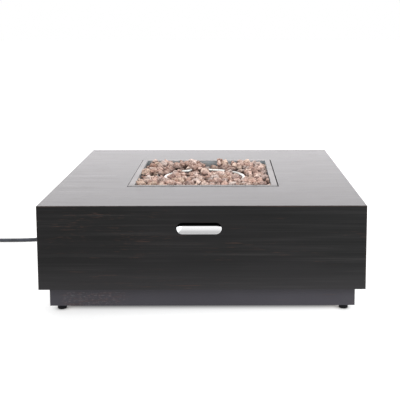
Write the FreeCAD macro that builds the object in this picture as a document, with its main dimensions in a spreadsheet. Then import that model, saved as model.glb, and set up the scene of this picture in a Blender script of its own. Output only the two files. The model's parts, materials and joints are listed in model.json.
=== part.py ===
import FreeCAD, Part
import math
import os
import random
import Sketcher

# Square low gas fire table. Millimetres, +Z up, origin on the floor under the middle of the table, front wall at -Y.

V = FreeCAD.Vector
R = FreeCAD.Rotation
doc = FreeCAD.newDocument("fire_table")
sheet = doc.addObject("Spreadsheet::Sheet", "dims")

TABLE = [
    # moulded shell
    ("body_width", 1016), ("body_depth", 1016), ("total_height", 348), ("apron_height", 265),
    ("shell_wall", 18), ("shell_top", 20), ("edge_round", 2.5), ("shell_corner", 3),
    # plinth and what ties it to the shell
    ("plinth_inset_x", 29), ("plinth_inset_y", 26), ("plinth_wall", 18), ("plinth_low", 22), ("plinth_lap", 36),
    ("rail_low", 3), ("rail_gap", 1),("block_side", 60), ("block_height", 61),
    ("screw_shank", 2.5), ("screw_head", 4.8), ("screw_bite", 10), ("screw_span", 300), ("screw_height", 103),
    # levelling feet
    ("foot_x", 449.5), ("foot_y", 440), ("pad_radius", 14.5), ("pad_high", 15), ("stud_radius", 4), ("stud_top", 60),
    ("insert_outer", 6), ("insert_bore", 4.06), ("insert_long", 24),
    # fire opening and burner pan
    ("open_x", -5.5), ("open_y", 16), ("open_width", 519), ("open_depth", 502), ("rebate", 6), ("ledge", 15), ("open_shift", 1), ("flange_proud", 0.5),
    ("pan_gap", 3), ("pan_sheet", 1.5), ("pan_flange", 20), ("pan_floor", 302), ("pan_hole", 11.2), ("drain_hole", 3),
    ("weep_pitch", 170),
    # burner
    ("ring_radius", 150), ("tube_radius", 6.5), ("tube_wall", 1), ("ring_height", 324), ("hub_radius", 16.5),
    ("hub_low", 308.3), ("hub_top", 333), ("nipple_radius", 10.65), ("nipple_bore", 7.9), ("nipple_low", 262),
    ("nipple_top", 320), ("thread_bore", 10.7), ("port_radius", 1.1), ("port_count", 36), ("port_circle", 147),
    ("locknut_round", 18.4), ("locknut_thick", 6),
    ("mixer_radius", 14), ("mixer_low", 228), ("mixer_top", 272), ("mixer_bore", 8.2), ("air_hole", 4.5), ("air_height", 250),
    ("jet_radius", 8.1), ("jet_top", 242), ("elbow_side", 20), ("feed_height", 216),
    # flame sensing
    ("bracket_x", -183), ("bracket_sheet", 1.5), ("shelf_height", 316), ("electrode_y", 4), ("thermo_y", 28),
    ("ceramic_radius", 4), ("ceramic_top", 330), ("ceramic_low", 284), ("thermo_radius", 3),
    # recessed control box in the left wall
    ("recess_y", 250), ("recess_z", 216), ("recess_wide", 190), ("recess_tall", 96), ("recess_deep", 44),
    ("recess_flange", 10), ("recess_sheet", 1.2), ("corner_round", 8),
    ("valve_y", 214), ("igniter_y", 296),
    ("valve_long", 42), ("valve_side", 34), ("bonnet_radius", 6), ("bonnet_proud", 3.3), ("stem_radius", 3),
    ("stem_bore", 3.05), ("chamber_radius", 8.1), ("collar_radius", 8.05), ("knob_radius", 22), ("knob_push", 5),
    ("dial_inner", 24.5), ("dial_outer", 31),
    ("button_radius", 9), ("button_bore", 9.06), ("button_push", 4), ("igniter_front", 13), ("igniter_barrel", 11),
    # lifting pulls
    ("pull_x", -8.5), ("pull_z", 277.2), ("pull_wide", 138.5), ("pull_tall", 36.5), ("pull_deep", 12), ("pull_sheet", 1.3),
    ("pull_edge", 4.1), ("pull_axis", 6), ("scoop_mid_deep", 5.6), ("scoop_mid_high", 6.7), ("pull_lip", 1.2),
    ("pocket_deep", 46), ("pocket_rise", 30), ("pocket_drop", 22.5), ("pocket_half", 73), ("pocket_sheet", 2),
    # gas hose and bottle end
    ("hose_radius", 6.75), ("ferrule_radius", 8.6), ("hose_start", 140),
    ("coil_x", -1020), ("coil_y", 383), ("coil_outer", 90), ("coil_inner", 63), ("coil_layers", 2),
    ("bottle_x", -1110), ("bottle_y", 600), ("bottle_z", 27), ("wheel_radius", 27),
    # loose rock
    ("rock_scale", 0.985),
]
values = {}
for row, (alias, value) in enumerate(TABLE, 1):
    sheet.set("A%d" % row, alias)
    sheet.set("B%d" % row, str(value))
    sheet.setAlias("B%d" % row, alias)
doc.recompute()
for alias, _ in TABLE:
    values[alias] = float(sheet.get(alias))


class Q:
    """A size with its value and the sheet expression that gives it."""

    def __init__(self, v, t):
        self.v, self.t = float(v), t

    @staticmethod
    def of(o):
        return o if isinstance(o, Q) else Q(o, "(%r)" % float(o) if o < 0 else "%r" % float(o))

    def __add__(self, o):
        o = Q.of(o)
        return Q(self.v + o.v, "(%s + %s)" % (self.t, o.t))

    def __radd__(self, o):
        return Q.of(o) + self

    def __sub__(self, o):
        o = Q.of(o)
        return Q(self.v - o.v, "(%s - %s)" % (self.t, o.t))

    def __rsub__(self, o):
        return Q.of(o) - self

    def __mul__(self, o):
        o = Q.of(o)
        return Q(self.v * o.v, "(%s * %s)" % (self.t, o.t))

    def __rmul__(self, o):
        return Q.of(o) * self

    def __truediv__(self, o):
        o = Q.of(o)
        return Q(self.v / o.v, "(%s / %s)" % (self.t, o.t))

    def __neg__(self):
        return Q(-self.v, "(0 - %s)" % self.t)


def d(alias):
    return Q(values[alias], "dims." + alias)


def bind(obj, prop, q):
    obj.setExpression(prop, Q.of(q).t)


def put(obj, at, turn=None):
    """Placement: a fixed turn, and a position bound to the sheet."""
    obj.Placement = FreeCAD.Placement(V(*[Q.of(a).v for a in at]), turn or R())
    for axis, a in zip("xyz", at):
        bind(obj, "Placement.Base." + axis, a)
    return obj


parts = {}


def part(label, obj):
    obj.Label = label
    parts[label] = obj
    return obj


TURN = {
    "z": R(), "-z": R(V(1, 0, 0), 180), "x": R(V(0, 1, 0), 90), "-x": R(V(0, 1, 0), -90),
    "y": R(V(1, 0, 0), -90), "-y": R(V(1, 0, 0), 90),
}


# ---- Part primitives bound to the sheet
def box(name, at, size):
    o = doc.addObject("Part::Box", name)
    for p, q in zip(("Length", "Width", "Height"), size):
        bind(o, p, q)
    return put(o, at)


def cyl(name, r, length, at, axis="z"):
    o = doc.addObject("Part::Cylinder", name)
    bind(o, "Radius", r)
    bind(o, "Height", length)
    return put(o, at, TURN[axis])


def cone(name, r1, r2, length, at, axis="z"):
    o = doc.addObject("Part::Cone", name)
    bind(o, "Radius1", r1)
    bind(o, "Radius2", r2)
    bind(o, "Height", length)
    return put(o, at, TURN[axis])


def hexagon(name, circumradius, length, at, axis="z"):
    o = doc.addObject("Part::Prism", name)
    o.Polygon = 6
    bind(o, "Circumradius", circumradius)
    bind(o, "Height", length)
    return put(o, at, TURN[axis])


def cut(name, base, *tools):
    for i, tool in enumerate(tools):
        o = doc.addObject("Part::Cut", "%s_cut%d" % (name, i))
        o.Base, o.Tool = base, tool
        base = o
    return base


def fuse(name, *shapes):
    o = doc.addObject("Part::MultiFuse", name)
    o.Shapes = list(shapes)
    o.Refine = True
    return o


def common(name, a, b):
    o = doc.addObject("Part::Common", name)
    o.Base, o.Tool = a, b
    return o


def group(name, *shapes):
    """Several separate solids of one kind in one sub-part."""
    o = doc.addObject("Part::Compound", name)
    o.Links = list(shapes)
    return o


# ---- PartDesign
def body(name):
    return doc.addObject("PartDesign::Body", name)


def sketch(b, name, role, off=0):
    sk = b.newObject("Sketcher::SketchObject", name)
    plane = next(o for o in b.Origin.OriginFeatures if o.Role == role)
    sk.AttachmentSupport = [(plane, "")]
    sk.MapMode = "FlatFace"
    bind(sk, "AttachmentOffset.Base.z", off)
    return sk


def fix(sk, geo, pos, x, y):
    for kind, q in (("DistanceX", Q.of(x)), ("DistanceY", Q.of(y))):
        n = sk.addConstraint(Sketcher.Constraint(kind, -1, 1, geo, pos, q.v))
        sk.setExpression("Constraints[%d]" % n, q.t)


def poly(sk, pts):
    first = sk.GeometryCount
    n = len(pts)
    for i in range(n):
        (ax, ay), (bx, by) = pts[i], pts[(i + 1) % n]
        sk.addGeometry(Part.LineSegment(V(Q.of(ax).v, Q.of(ay).v, 0), V(Q.of(bx).v, Q.of(by).v, 0)), False)
    for i in range(n):
        sk.addConstraint(Sketcher.Constraint("Coincident", first + i, 2, first + (i + 1) % n, 1))
    for i, (x, y) in enumerate(pts):
        fix(sk, first + i, 1, x, y)


def rect(sk, cx, cy, w, h):
    cx, cy, w, h = Q.of(cx), Q.of(cy), Q.of(w), Q.of(h)
    poly(sk, [(cx - w / 2, cy - h / 2), (cx + w / 2, cy - h / 2), (cx + w / 2, cy + h / 2), (cx - w / 2, cy + h / 2)])


def ring(sk, cx, cy, r):
    cx, cy, r = Q.of(cx), Q.of(cy), Q.of(r)
    g = sk.addGeometry(Part.Circle(V(cx.v, cy.v, 0), V(0, 0, 1), r.v), False)
    fix(sk, g, 3, cx, cy)
    n = sk.addConstraint(Sketcher.Constraint("Radius", g, r.v))
    sk.setExpression("Constraints[%d]" % n, r.t)


def slot(sk, cx, cy, w, h):
    """Stadium: two half circles joined by two lines."""
    cx, cy, w, h = Q.of(cx), Q.of(cy), Q.of(w), Q.of(h)
    r = h / 2
    a, b = cx - (w / 2 - r), cx + (w / 2 - r)
    k = sk.GeometryCount
    sk.addGeometry(Part.ArcOfCircle(Part.Circle(V(a.v, cy.v, 0), V(0, 0, 1), r.v), math.pi / 2, 3 * math.pi / 2), False)
    sk.addGeometry(Part.LineSegment(V(a.v, cy.v - r.v, 0), V(b.v, cy.v - r.v, 0)), False)
    sk.addGeometry(Part.ArcOfCircle(Part.Circle(V(b.v, cy.v, 0), V(0, 0, 1), r.v), -math.pi / 2, math.pi / 2), False)
    sk.addGeometry(Part.LineSegment(V(b.v, cy.v + r.v, 0), V(a.v, cy.v + r.v, 0)), False)
    for i, j in ((0, 1), (1, 2), (2, 3), (3, 0)):
        sk.addConstraint(Sketcher.Constraint("Tangent", k + i, 2, k + j, 1))
    fix(sk, k, 3, a, cy)
    fix(sk, k + 2, 3, b, cy)
    n = sk.addConstraint(Sketcher.Constraint("Radius", k, r.v))
    sk.setExpression("Constraints[%d]" % n, r.t)


def pad(b, name, sk, length, back=False):
    f = b.newObject("PartDesign::Pad", name)
    f.Profile = sk
    bind(f, "Length", length)
    f.Reversed = back
    return f


def pocket(b, name, sk, length, back=False):
    before = None
    doc.recompute()
    before = b.Shape.Volume
    f = b.newObject("PartDesign::Pocket", name)
    f.Profile = sk
    bind(f, "Length", length)
    f.Reversed = back
    doc.recompute()
    if not b.Shape.Volume < before - 0.01:
        raise RuntimeError("%s cuts nothing" % name)
    return f


def revolve(b, name, sk):
    f = b.newObject("PartDesign::Revolution", name)
    f.Profile = sk
    f.ReferenceAxis = (sk, ["V_Axis"])
    f.Angle = 360
    return f


def turned(label, pts, at, axis="z"):
    """A turned piece: half section (radius, height) about its own axis."""
    b = body(label + "_body")
    sk = sketch(b, label + "_section", "XZ_Plane")
    poly(sk, pts)
    revolve(b, label + "_turned", sk)
    put(b, at, TURN[axis])
    return b


def edges_of(feature, wanted):
    return ["Edge%d" % (i + 1) for i, e in enumerate(feature.Shape.Edges) if wanted(e)]


def along(e, axis):
    if e.Curve.TypeId != "Part::GeomLine":
        return False
    t = e.Curve.Direction
    return abs(abs((t.x, t.y, t.z)["xyz".index(axis)]) - 1) < 1e-6


# ---- derived sizes
W2, D2, TOP = d("body_width") / 2, d("body_depth") / 2, d("total_height")
LOW = TOP - d("apron_height")
WALL = d("shell_wall")
PX, PY = W2 - d("plinth_inset_x"), D2 - d("plinth_inset_y")
PW = d("plinth_wall")
LAP = LOW + d("plinth_lap")
OX, OY = d("open_x"), d("open_y")
SH = d("recess_sheet")

# ---- surround_shell: top slab and four walls in one casting
b = body("shell_body")
sk = sketch(b, "shell_outline", "XY_Plane", LOW)
rect(sk, 0, 0, d("body_width"), d("body_depth"))
block = pad(b, "shell_block", sk, d("apron_height"))
doc.recompute()
top_v, low_v = TOP.v, LOW.v
names = edges_of(block, lambda e: along(e, "z"))
f = b.newObject("PartDesign::Fillet", "shell_corners")
f.Base = (block, names)
bind(f, "Radius", d("shell_corner"))
doc.recompute()
block = f
names = edges_of(block, lambda e: all(abs(v.Z - top_v) < 1e-6 for v in e.Vertexes))
f = b.newObject("PartDesign::Fillet", "shell_edges")
f.Base = (block, names)
bind(f, "Radius", d("edge_round"))
doc.recompute()
sk = sketch(b, "shell_hollow_outline", "XY_Plane", LOW)
rect(sk, 0, 0, d("body_width") - 2 * WALL, d("body_depth") - 2 * WALL)
pocket(b, "shell_hollow", sk, d("apron_height") - d("shell_top"), True)
sk = sketch(b, "rebate_outline", "XY_Plane", TOP)
rect(sk, OX + d("open_shift"), OY - d("open_shift"), d("open_width"), d("open_depth"))
pocket(b, "opening_rebate", sk, d("rebate"))
sk = sketch(b, "opening_outline", "XY_Plane", TOP)
rect(sk, OX + d("open_shift"), OY - d("open_shift"), d("open_width") - 2 * d("ledge"), d("open_depth") - 2 * d("ledge"))
pocket(b, "opening", sk, d("shell_top") + 5)
for side, off, back in (("front", D2, False), ("rear", -D2, True)):
    sk = sketch(b, side + "_pull_outline", "XZ_Plane", off)
    slot(sk, d("pull_x") if side == "front" else -d("pull_x"), d("pull_z"), d("pull_wide"), d("pull_tall"))
    pocket(b, side + "_pull_opening", sk, WALL, back)
sk = sketch(b, "control_rebate_outline", "YZ_Plane", -W2)
rect(sk, d("recess_y"), d("recess_z"), d("recess_wide") + 2 * d("recess_flange") + 0.6, d("recess_tall") + 2 * d("recess_flange") + 0.6)
pocket(b, "control_rebate", sk, SH, True)
sk = sketch(b, "control_outline", "YZ_Plane", -W2)
rect(sk, d("recess_y"), d("recess_z"), d("recess_wide"), d("recess_tall"))
pocket(b, "control_opening", sk, WALL, True)
for side, off, back in (("front", D2 - WALL, True), ("rear", WALL - D2, False)):
    sk = sketch(b, side + "_tie_holes", "XZ_Plane", off)
    for s in (-1, 1):
        ring(sk, s * d("screw_span"), d("screw_height"), d("screw_shank"))
    pocket(b, side + "_tie_bores", sk, d("screw_bite"), back)
for side, off, back in (("left", WALL - W2, False), ("right", W2 - WALL, True)):
    sk = sketch(b, side + "_tie_holes", "YZ_Plane", off)
    for s in (-1, 1):
        ring(sk, s * d("screw_span"), d("screw_height"), d("screw_shank"))
    pocket(b, side + "_tie_bores", sk, d("screw_bite"), back)
part("surround_shell", b)

# ---- plinth: recessed base ring
b = body("plinth_body")
sk = sketch(b, "plinth_outline", "XY_Plane", d("plinth_low"))
rect(sk, 0, 0, 2 * PX, 2 * PY)
rect(sk, 0, 0, 2 * (PX - PW), 2 * (PY - PW))
block = pad(b, "plinth_ring", sk, LAP - d("plinth_low"))
doc.recompute()
names = edges_of(block, lambda e: along(e, "z") and abs(e.Vertexes[0].X) > PX.v - 1)
f = b.newObject("PartDesign::Fillet", "plinth_corners")
f.Base = (block, names)
bind(f, "Radius", d("edge_round"))
doc.recompute()
for role, off, name in (("XZ_Plane", PY, "y"), ("YZ_Plane", -PX, "x")):
    for s, side in ((1, "a"), (-1, "b")):
        sk = sketch(b, "plinth_holes_%s%s" % (name, side), role, off if s == 1 else -off)
        for t in (-1, 1):
            ring(sk, t * d("screw_span"), d("screw_height"), d("screw_shank") + 0.1)
        pocket(b, "plinth_bores_%s%s" % (name, side), sk, PW, (s == -1) if name == "y" else (s == 1))
part("plinth", b)

# ---- rails that fill the gap between plinth and shell wall
RL = LOW + d("rail_low")
RH = LAP - RL
RG = d("rail_gap")
GX, GY = W2 - WALL - PX, D2 - WALL - PY
rails = []
for name, at, size in (
    ("rail_left", (-(W2 - WALL), RG - PY, RL), (GX, 2 * (PY - RG), RH)),
    ("rail_right", (PX, RG - PY, RL), (GX, 2 * (PY - RG), RH)),
    ("rail_front", (-(W2 - WALL), -(D2 - WALL), RL), (2 * (W2 - WALL), GY, RH)),
    ("rail_rear", (-(W2 - WALL), PY, RL), (2 * (W2 - WALL), GY, RH)),
):
    o = box(name, at, size)
    for k, s in enumerate((-1, 1)):
        if "left" in name or "right" in name:
            h = cyl("%s_hole%d" % (name, k), d("screw_shank") + 0.1, GX + 2, (at[0] - 1, s * d("screw_span"), d("screw_height")), "x")
        else:
            h = cyl("%s_hole%d" % (name, k), d("screw_shank") + 0.1, GY + 2, (s * d("screw_span"), at[1] - 1, d("screw_height")), "y")
        o = cut("%s_%d" % (name, k), o, h)
    rails.append(o)
part("spacer_rails", group("rails", *rails))

# ---- screws through plinth and rail into the shell
screws = []
for axis, wall, gap in (("x", PX - PW, PW + GX), ("y", PY - PW, PW + GY)):
    for s in (-1, 1):
        for t in (-1, 1):
            n = "tie_%s%d%d" % (axis, s, t)
            if axis == "x":
                at, head = (s * wall, t * d("screw_span"), d("screw_height")), (s * (wall - 3), t * d("screw_span"), d("screw_height"))
            else:
                at, head = (t * d("screw_span"), s * wall, d("screw_height")), (t * d("screw_span"), s * (wall - 3), d("screw_height"))
            way = axis if s == 1 else "-" + axis
            screws.append(fuse(n, cyl(n + "_shank", d("screw_shank"), gap + d("screw_bite"), at, way), cyl(n + "_head", d("screw_head"), 3, head, way)))
part("plinth_screws", group("tie_screws", *screws))

# ---- corner blocks, threaded inserts and levelling feet
CORNERS = (("front_left", -1, -1), ("front_right", 1, -1), ("rear_left", -1, 1), ("rear_right", 1, 1))
blocks, inserts = [], []
BS = d("block_side")
for name, sx, sy in CORNERS:
    x0 = (PX - PW - BS) if sx > 0 else -(PX - PW)
    y0 = (PY - PW - BS) if sy > 0 else -(PY - PW)
    fx, fy = sx * d("foot_x"), sy * d("foot_y")
    blk = box("block_" + name, (x0, y0, d("plinth_low")), (BS, BS, d("block_height")))
    blocks.append(cut("block_bored_" + name, blk, cyl("block_bore_" + name, d("insert_outer"), d("stud_top") + 4 - d("plinth_low"), (fx, fy, d("plinth_low")))))
    ins = cyl("insert_" + name, d("insert_outer"), d("insert_long"), (fx, fy, d("plinth_low")))
    inserts.append(cut("insert_bored_" + name, ins, cyl("insert_hole_" + name, d("insert_bore"), d("insert_long") + 2, (fx, fy, d("plinth_low") - 1))))
    r = d("pad_radius")
    foot = turned("foot_" + name, [
        (0, 0), (r - 1.2, 0), (r, 1.2), (r, d("pad_high") - 6), (r - 1.2, d("pad_high") - 3), (r - 3.6, d("pad_high") - 1),
        (r - 5.6, d("pad_high")), (r - 5.6, d("plinth_low") - 0.6), (d("stud_radius"), d("plinth_low") - 0.6),
        (d("stud_radius"), d("stud_top") - 1), (d("stud_radius") - 1, d("stud_top")), (0, d("stud_top")),
    ], (fx, fy, 0))
    part("foot_" + name, foot)
part("corner_blocks", group("blocks", *blocks))
part("foot_inserts", group("inserts", *inserts))

# ---- burner_pan: flanged drop-in tray
PS = d("pan_sheet")
FW, FD = d("open_width") - 2 * d("pan_gap"), d("open_depth") - 2 * d("pan_gap")
IW, ID = FW - 2 * d("pan_flange"), FD - 2 * d("pan_flange")
FLAT = TOP + d("flange_proud") - PS
b = body("pan_body")
sk = sketch(b, "pan_tub_outline", "XY_Plane", d("pan_floor") - PS)
rect(sk, OX, OY, IW + 2 * PS, ID + 2 * PS)
pad(b, "pan_tub", sk, FLAT - d("pan_floor") + PS)
sk = sketch(b, "pan_flange_outline", "XY_Plane", FLAT)
rect(sk, OX, OY, FW, FD)
pad(b, "pan_flange", sk, PS)
sk = sketch(b, "pan_skirt_outline", "XY_Plane", TOP - d("rebate"))
rect(sk, OX, OY, FW, FD)
rect(sk, OX, OY, FW - 2 * PS, FD - 2 * PS)
pad(b, "pan_skirt", sk, d("rebate") + d("flange_proud") - PS)
sk = sketch(b, "pan_inside_outline", "XY_Plane", FLAT + PS)
rect(sk, OX, OY, IW, ID)
pocket(b, "pan_inside", sk, FLAT + PS - d("pan_floor"))
sk = sketch(b, "pan_hole_outline", "XY_Plane", d("pan_floor"))
ring(sk, OX, OY, d("pan_hole"))
pocket(b, "pan_hole", sk, PS)
sk = sketch(b, "weep_hole_outline", "XY_Plane", d("pan_floor"))
for sx in (-1, 1):
    for sy in (-1, 1):
        ring(sk, OX + sx * d("weep_pitch"), OY + sy * d("weep_pitch"), d("drain_hole"))
pocket(b, "weep_holes", sk, PS)
sk = sketch(b, "sensor_hole_outline", "XY_Plane", d("pan_floor"))
ring(sk, d("bracket_x"), d("electrode_y"), d("ceramic_radius") + 0.5)
ring(sk, d("bracket_x"), d("thermo_y"), d("thermo_radius") + 0.5)
for yy in (d("electrode_y"), d("thermo_y")):
    ring(sk, d("bracket_x") - 20, yy, 2)
pocket(b, "sensor_holes", sk, PS)
part("burner_pan", b)

# ---- burner_ring: hollow ring, cross bar and hub, with flame ports round the top
RZ = d("ring_height")
b = body("ring_body")
sk = sketch(b, "tube_section", "XZ_Plane")
ring(sk, d("ring_radius"), 0, d("tube_radius"))
revolve(b, "ring_tube", sk)
sk = sketch(b, "bar_section", "YZ_Plane", -d("ring_radius"))
ring(sk, 0, 0, d("tube_radius") - 0.4)
pad(b, "cross_bar", sk, 2 * d("ring_radius"))
sk = sketch(b, "hub_outline", "XY_Plane", d("hub_low") - RZ)
ring(sk, 0, 0, d("hub_radius"))
pad(b, "hub", sk, d("hub_top") - d("hub_low"))
doc.recompute()
g = b.newObject("PartDesign::Groove", "ring_bore")
sk = sketch(b, "bore_section", "XZ_Plane")
b.removeObject(g)
doc.removeObject(g.Name)
ring(sk, d("ring_radius"), 0, d("tube_radius") - d("tube_wall"))
before = b.Shape.Volume
g = b.newObject("PartDesign::Groove", "ring_bore")
g.Profile = sk
g.ReferenceAxis = (sk, ["V_Axis"])
g.Angle = 360
doc.recompute()
if not b.Shape.Volume < before - 1:
    raise RuntimeError("the ring's bore cuts nothing")
sk = sketch(b, "bar_bore_section", "YZ_Plane", -d("ring_radius"))
ring(sk, 0, 0, d("tube_radius") - d("tube_wall") - 0.4)
pocket(b, "bar_bore", sk, 2 * d("ring_radius"), True)
sk = sketch(b, "hub_bore_outline", "XY_Plane", d("hub_low") - RZ)
ring(sk, 0, 0, d("thread_bore"))
pocket(b, "hub_bore", sk, d("nipple_top") - d("hub_low"), True)
sk = sketch(b, "port_outline", "XY_Plane", d("tube_radius") + 1)
ring(sk, 0, d("port_circle"), d("port_radius"))
first = pocket(b, "first_port", sk, 4.5)
pat = b.newObject("PartDesign::PolarPattern", "ports")
pat.Originals = [first]
pat.Axis = (sk, ["N_Axis"])
pat.Angle = 360
bind(pat, "Occurrences", d("port_count"))
b.Tip = pat
put(b, (OX, OY, RZ))
part("burner_ring", b)

# ---- pipe down through the pan, its nuts, air mixer, jet and elbow
part("burner_nipple", cut("nipple", cyl("nipple_outer", d("nipple_radius"), d("nipple_top") - d("nipple_low") - 0.4, (OX, OY, d("nipple_low"))),
     cyl("nipple_hole", d("nipple_bore"), d("nipple_top") - d("nipple_low") + 2, (OX, OY, d("nipple_low") - 1))))
nuts = []
for n, z in (("over", d("pan_floor")), ("under", d("pan_floor") - PS - d("locknut_thick"))):
    nuts.append(cut("locknut_" + n, hexagon("locknut_hex_" + n, d("locknut_round"), d("locknut_thick"), (OX, OY, z)),
                    cyl("locknut_bore_" + n, d("thread_bore"), d("locknut_thick") + 2, (OX, OY, z - 1))))
part("burner_locknuts", group("locknuts", *nuts))
ML, MT, AH = d("mixer_low"), d("mixer_top"), d("air_height")
mx = cyl("mixer_outer", d("mixer_radius"), MT - ML, (OX, OY, ML))
mx = cut("mixer", mx,
         cyl("mixer_socket", d("thread_bore"), MT - d("nipple_low") + 1, (OX, OY, d("nipple_low"))),
         cyl("mixer_throat", d("mixer_bore"), MT - ML + 2, (OX, OY, ML - 1)),
         cyl("mixer_air_x", d("air_hole"), 2 * d("mixer_radius") + 2, (OX - d("mixer_radius") - 1, OY, AH), "x"),
         cyl("mixer_air_y", d("air_hole"), 2 * d("mixer_radius") + 2, (OX, OY - d("mixer_radius") - 1, AH), "y"))
part("air_mixer", mx)
ES, FH = d("elbow_side"), d("feed_height")
el = fuse("elbow_solid",
          box("elbow_block", (OX - ES / 2, OY - ES / 2, FH - ES / 2), (ES, ES, ML - FH + ES / 2)),
          cyl("jet_spud", d("jet_radius"), d("jet_top") - ML, (OX, OY, ML)),
          hexagon("elbow_hex", 10.5, 9, (OX - ES / 2, OY, FH), "-x"),
          cyl("elbow_flare", 7.5, 6, (OX - ES / 2 - 9, OY, FH), "-x"))
el = cut("elbow", el, cyl("jet_hole", 0.9, 14, (OX, OY, d("jet_top") - 10)),
         cyl("elbow_way_up", 4, d("jet_top") - 8 - FH, (OX, OY, FH)), cyl("elbow_way_in", 4, ES / 2 + 16, (OX, OY, FH), "-x"))
part("orifice_elbow", el)

# ---- electrode and thermocouple on their bracket
BX, BT, SZ = d("bracket_x"), d("bracket_sheet"), d("shelf_height")
EY, TY = d("electrode_y"), d("thermo_y")
mid = (EY + TY) / 2
b = body("bracket_body")
sk = sketch(b, "bracket_profile", "XZ_Plane")
F0 = d("pan_floor")
poly(sk, [(BX - 27, F0), (BX - 9.5, F0), (BX - 9.5, SZ), (BX + 6, SZ), (BX + 6, SZ + BT), (BX - 11, SZ + BT), (BX - 11, F0 + BT), (BX - 27, F0 + BT)])
p = pad(b, "bracket_strip", sk, 38)
p.Midplane = True
sk = sketch(b, "bracket_shelf_holes", "XY_Plane", SZ + BT)
ring(sk, BX, -12, d("ceramic_radius") + 0.05)
ring(sk, BX, 12, d("thermo_radius") + 0.05)
pocket(b, "bracket_shelf_bores", sk, BT)
sk = sketch(b, "bracket_foot_holes", "XY_Plane", F0 + BT)
ring(sk, BX - 20, -12, 2)
ring(sk, BX - 20, 12, 2)
pocket(b, "bracket_foot_bores", sk, BT)
put(b, (0, mid, 0))
part("electrode_bracket", b)
bs = []
for k, yy in enumerate((EY, TY)):
    bs.append(fuse("bracket_screw%d" % k, cyl("bracket_shank%d" % k, 2, 9, (BX - 20, yy, F0 + BT - 9)), cyl("bracket_head%d" % k, 3.6, 2.4, (BX - 20, yy, F0 + BT)),
                   hexagon("bracket_nut%d" % k, 4, 3, (BX - 20, yy, F0 - PS - 3))))
part("bracket_screws", group("bracket_fixings", *bs))
part("spark_electrode", fuse("electrode", cyl("ceramic", d("ceramic_radius"), d("ceramic_top") - d("ceramic_low"), (BX, EY, d("ceramic_low"))),
     cyl("ceramic_collar", d("ceramic_radius") + 1.6, 4, (BX, EY, SZ + BT)), cyl("ceramic_pin", 1.4, 8, (BX, EY, d("ceramic_low") - 8))))
part("electrode_tip", fuse("tip", cyl("tip_up", 1, 4.5, (BX, EY, d("ceramic_top"))), cyl("tip_over", 1, 9, (BX, EY, d("ceramic_top") + 3.5), "x")))
part("thermocouple", fuse("thermo", cyl("thermo_rod", d("thermo_radius"), 36, (BX, TY, SZ + BT - 22)), cone("thermo_point", d("thermo_radius"), 1.6, 4, (BX, TY, SZ + BT + 14)),
     cyl("thermo_collar", d("thermo_radius") + 2, 3, (BX, TY, SZ + BT))))

# ---- control_recess: stainless box let into the left wall
RY, RZc, RW, RT, RD = d("recess_y"), d("recess_z"), d("recess_wide"), d("recess_tall"), d("recess_deep")
b = body("recess_body")
sk = sketch(b, "recess_tub_outline", "YZ_Plane", -W2 + SH)
rect(sk, RY, RZc, RW - 0.4, RT - 0.4)
pad(b, "recess_tub", sk, RD - SH)
sk = sketch(b, "recess_flange_outline", "YZ_Plane", -W2)
rect(sk, RY, RZc, RW + 2 * d("recess_flange"), RT + 2 * d("recess_flange"))
pad(b, "recess_flange", sk, SH)
sk = sketch(b, "recess_inside_outline", "YZ_Plane", -W2)
rect(sk, RY, RZc, RW - 0.4 - 2 * SH, RT - 0.4 - 2 * SH)
pocket(b, "recess_inside", sk, RD - SH, True)
sk = sketch(b, "recess_hole_outline", "YZ_Plane", -W2 + RD)
ring(sk, d("valve_y"), RZc, d("bonnet_radius") + 0.1)
ring(sk, d("igniter_y"), RZc, d("igniter_barrel") + 0.1)
pocket(b, "recess_holes", sk, SH, False)
sk = sketch(b, "recess_screw_outline", "YZ_Plane", -W2)
CW, CH = RW / 2 + d("recess_flange") / 2, RT / 2 + d("recess_flange") / 2
for sy in (-1, 1):
    for sz in (-1, 1):
        ring(sk, RY + sy * CW, RZc + sz * CH, 1.9)
pocket(b, "recess_screw_holes", sk, SH, True)
part("control_recess", b)
rs = []
for sy in (-1, 1):
    for sz in (-1, 1):
        n = "recess_screw_%d%d" % (sy, sz)
        rs.append(cyl(n, 1.85, SH, (-W2, RY + sy * CW, RZc + sz * CH), "x"))
part("recess_screws", group("recess_fixings", *rs))

# ---- gas valve behind the box; its stem slides and turns
VY, VL, VS = d("valve_y"), d("valve_long"), d("valve_side")
BACK = -W2 + RD
FACE = BACK - SH
CH0 = BACK + 12
vb = fuse("valve_solid", box("valve_block", (BACK, VY - VS / 2, RZc - VS / 2), (VL, VS, VS)),
          cyl("valve_bonnet", d("bonnet_radius"), SH + d("bonnet_proud"), (BACK, VY, RZc), "-x"),
          cyl("valve_outlet", 7.5, 14, (BACK + VL / 2, VY - VS / 2, RZc), "-y"))
vb = cut("valve", vb, cyl("valve_stem_way", d("stem_bore"), 12 + SH + d("bonnet_proud") + 1, (CH0 + 1, VY, RZc), "-x"),
         cyl("valve_chamber", d("chamber_radius"), VL - 12 + 1, (CH0, VY, RZc), "x"),
         cyl("valve_outlet_way", 4, VS / 2 + 16, (BACK + VL / 2, VY, RZc), "-y"),
         cyl("valve_inlet_way", 4, VS / 2 + 2, (BACK + VL / 2, VY, RZc), "-z"))
part("valve_body", vb)
part("valve_rear_plug", fuse("rear_plug", cyl("plug_spigot", d("chamber_radius"), 6, (BACK + VL, VY, RZc), "-x"), hexagon("plug_hex", 11, 5, (BACK + VL, VY, RZc), "x")))
part("valve_nut", cut("bonnet_nut", hexagon("bonnet_hex", 8.6, 3, (FACE, VY, RZc), "-x"), cyl("bonnet_thread", d("bonnet_radius") + 0.05, 5, (FACE + 1, VY, RZc), "-x")))
part("valve_collar", cut("collar", cyl("collar_disc", d("collar_radius"), 4, (CH0 + 0.3, VY, RZc), "x"), cyl("collar_hole", d("stem_bore"), 6, (CH0 - 0.7, VY, RZc), "x")))
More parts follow.
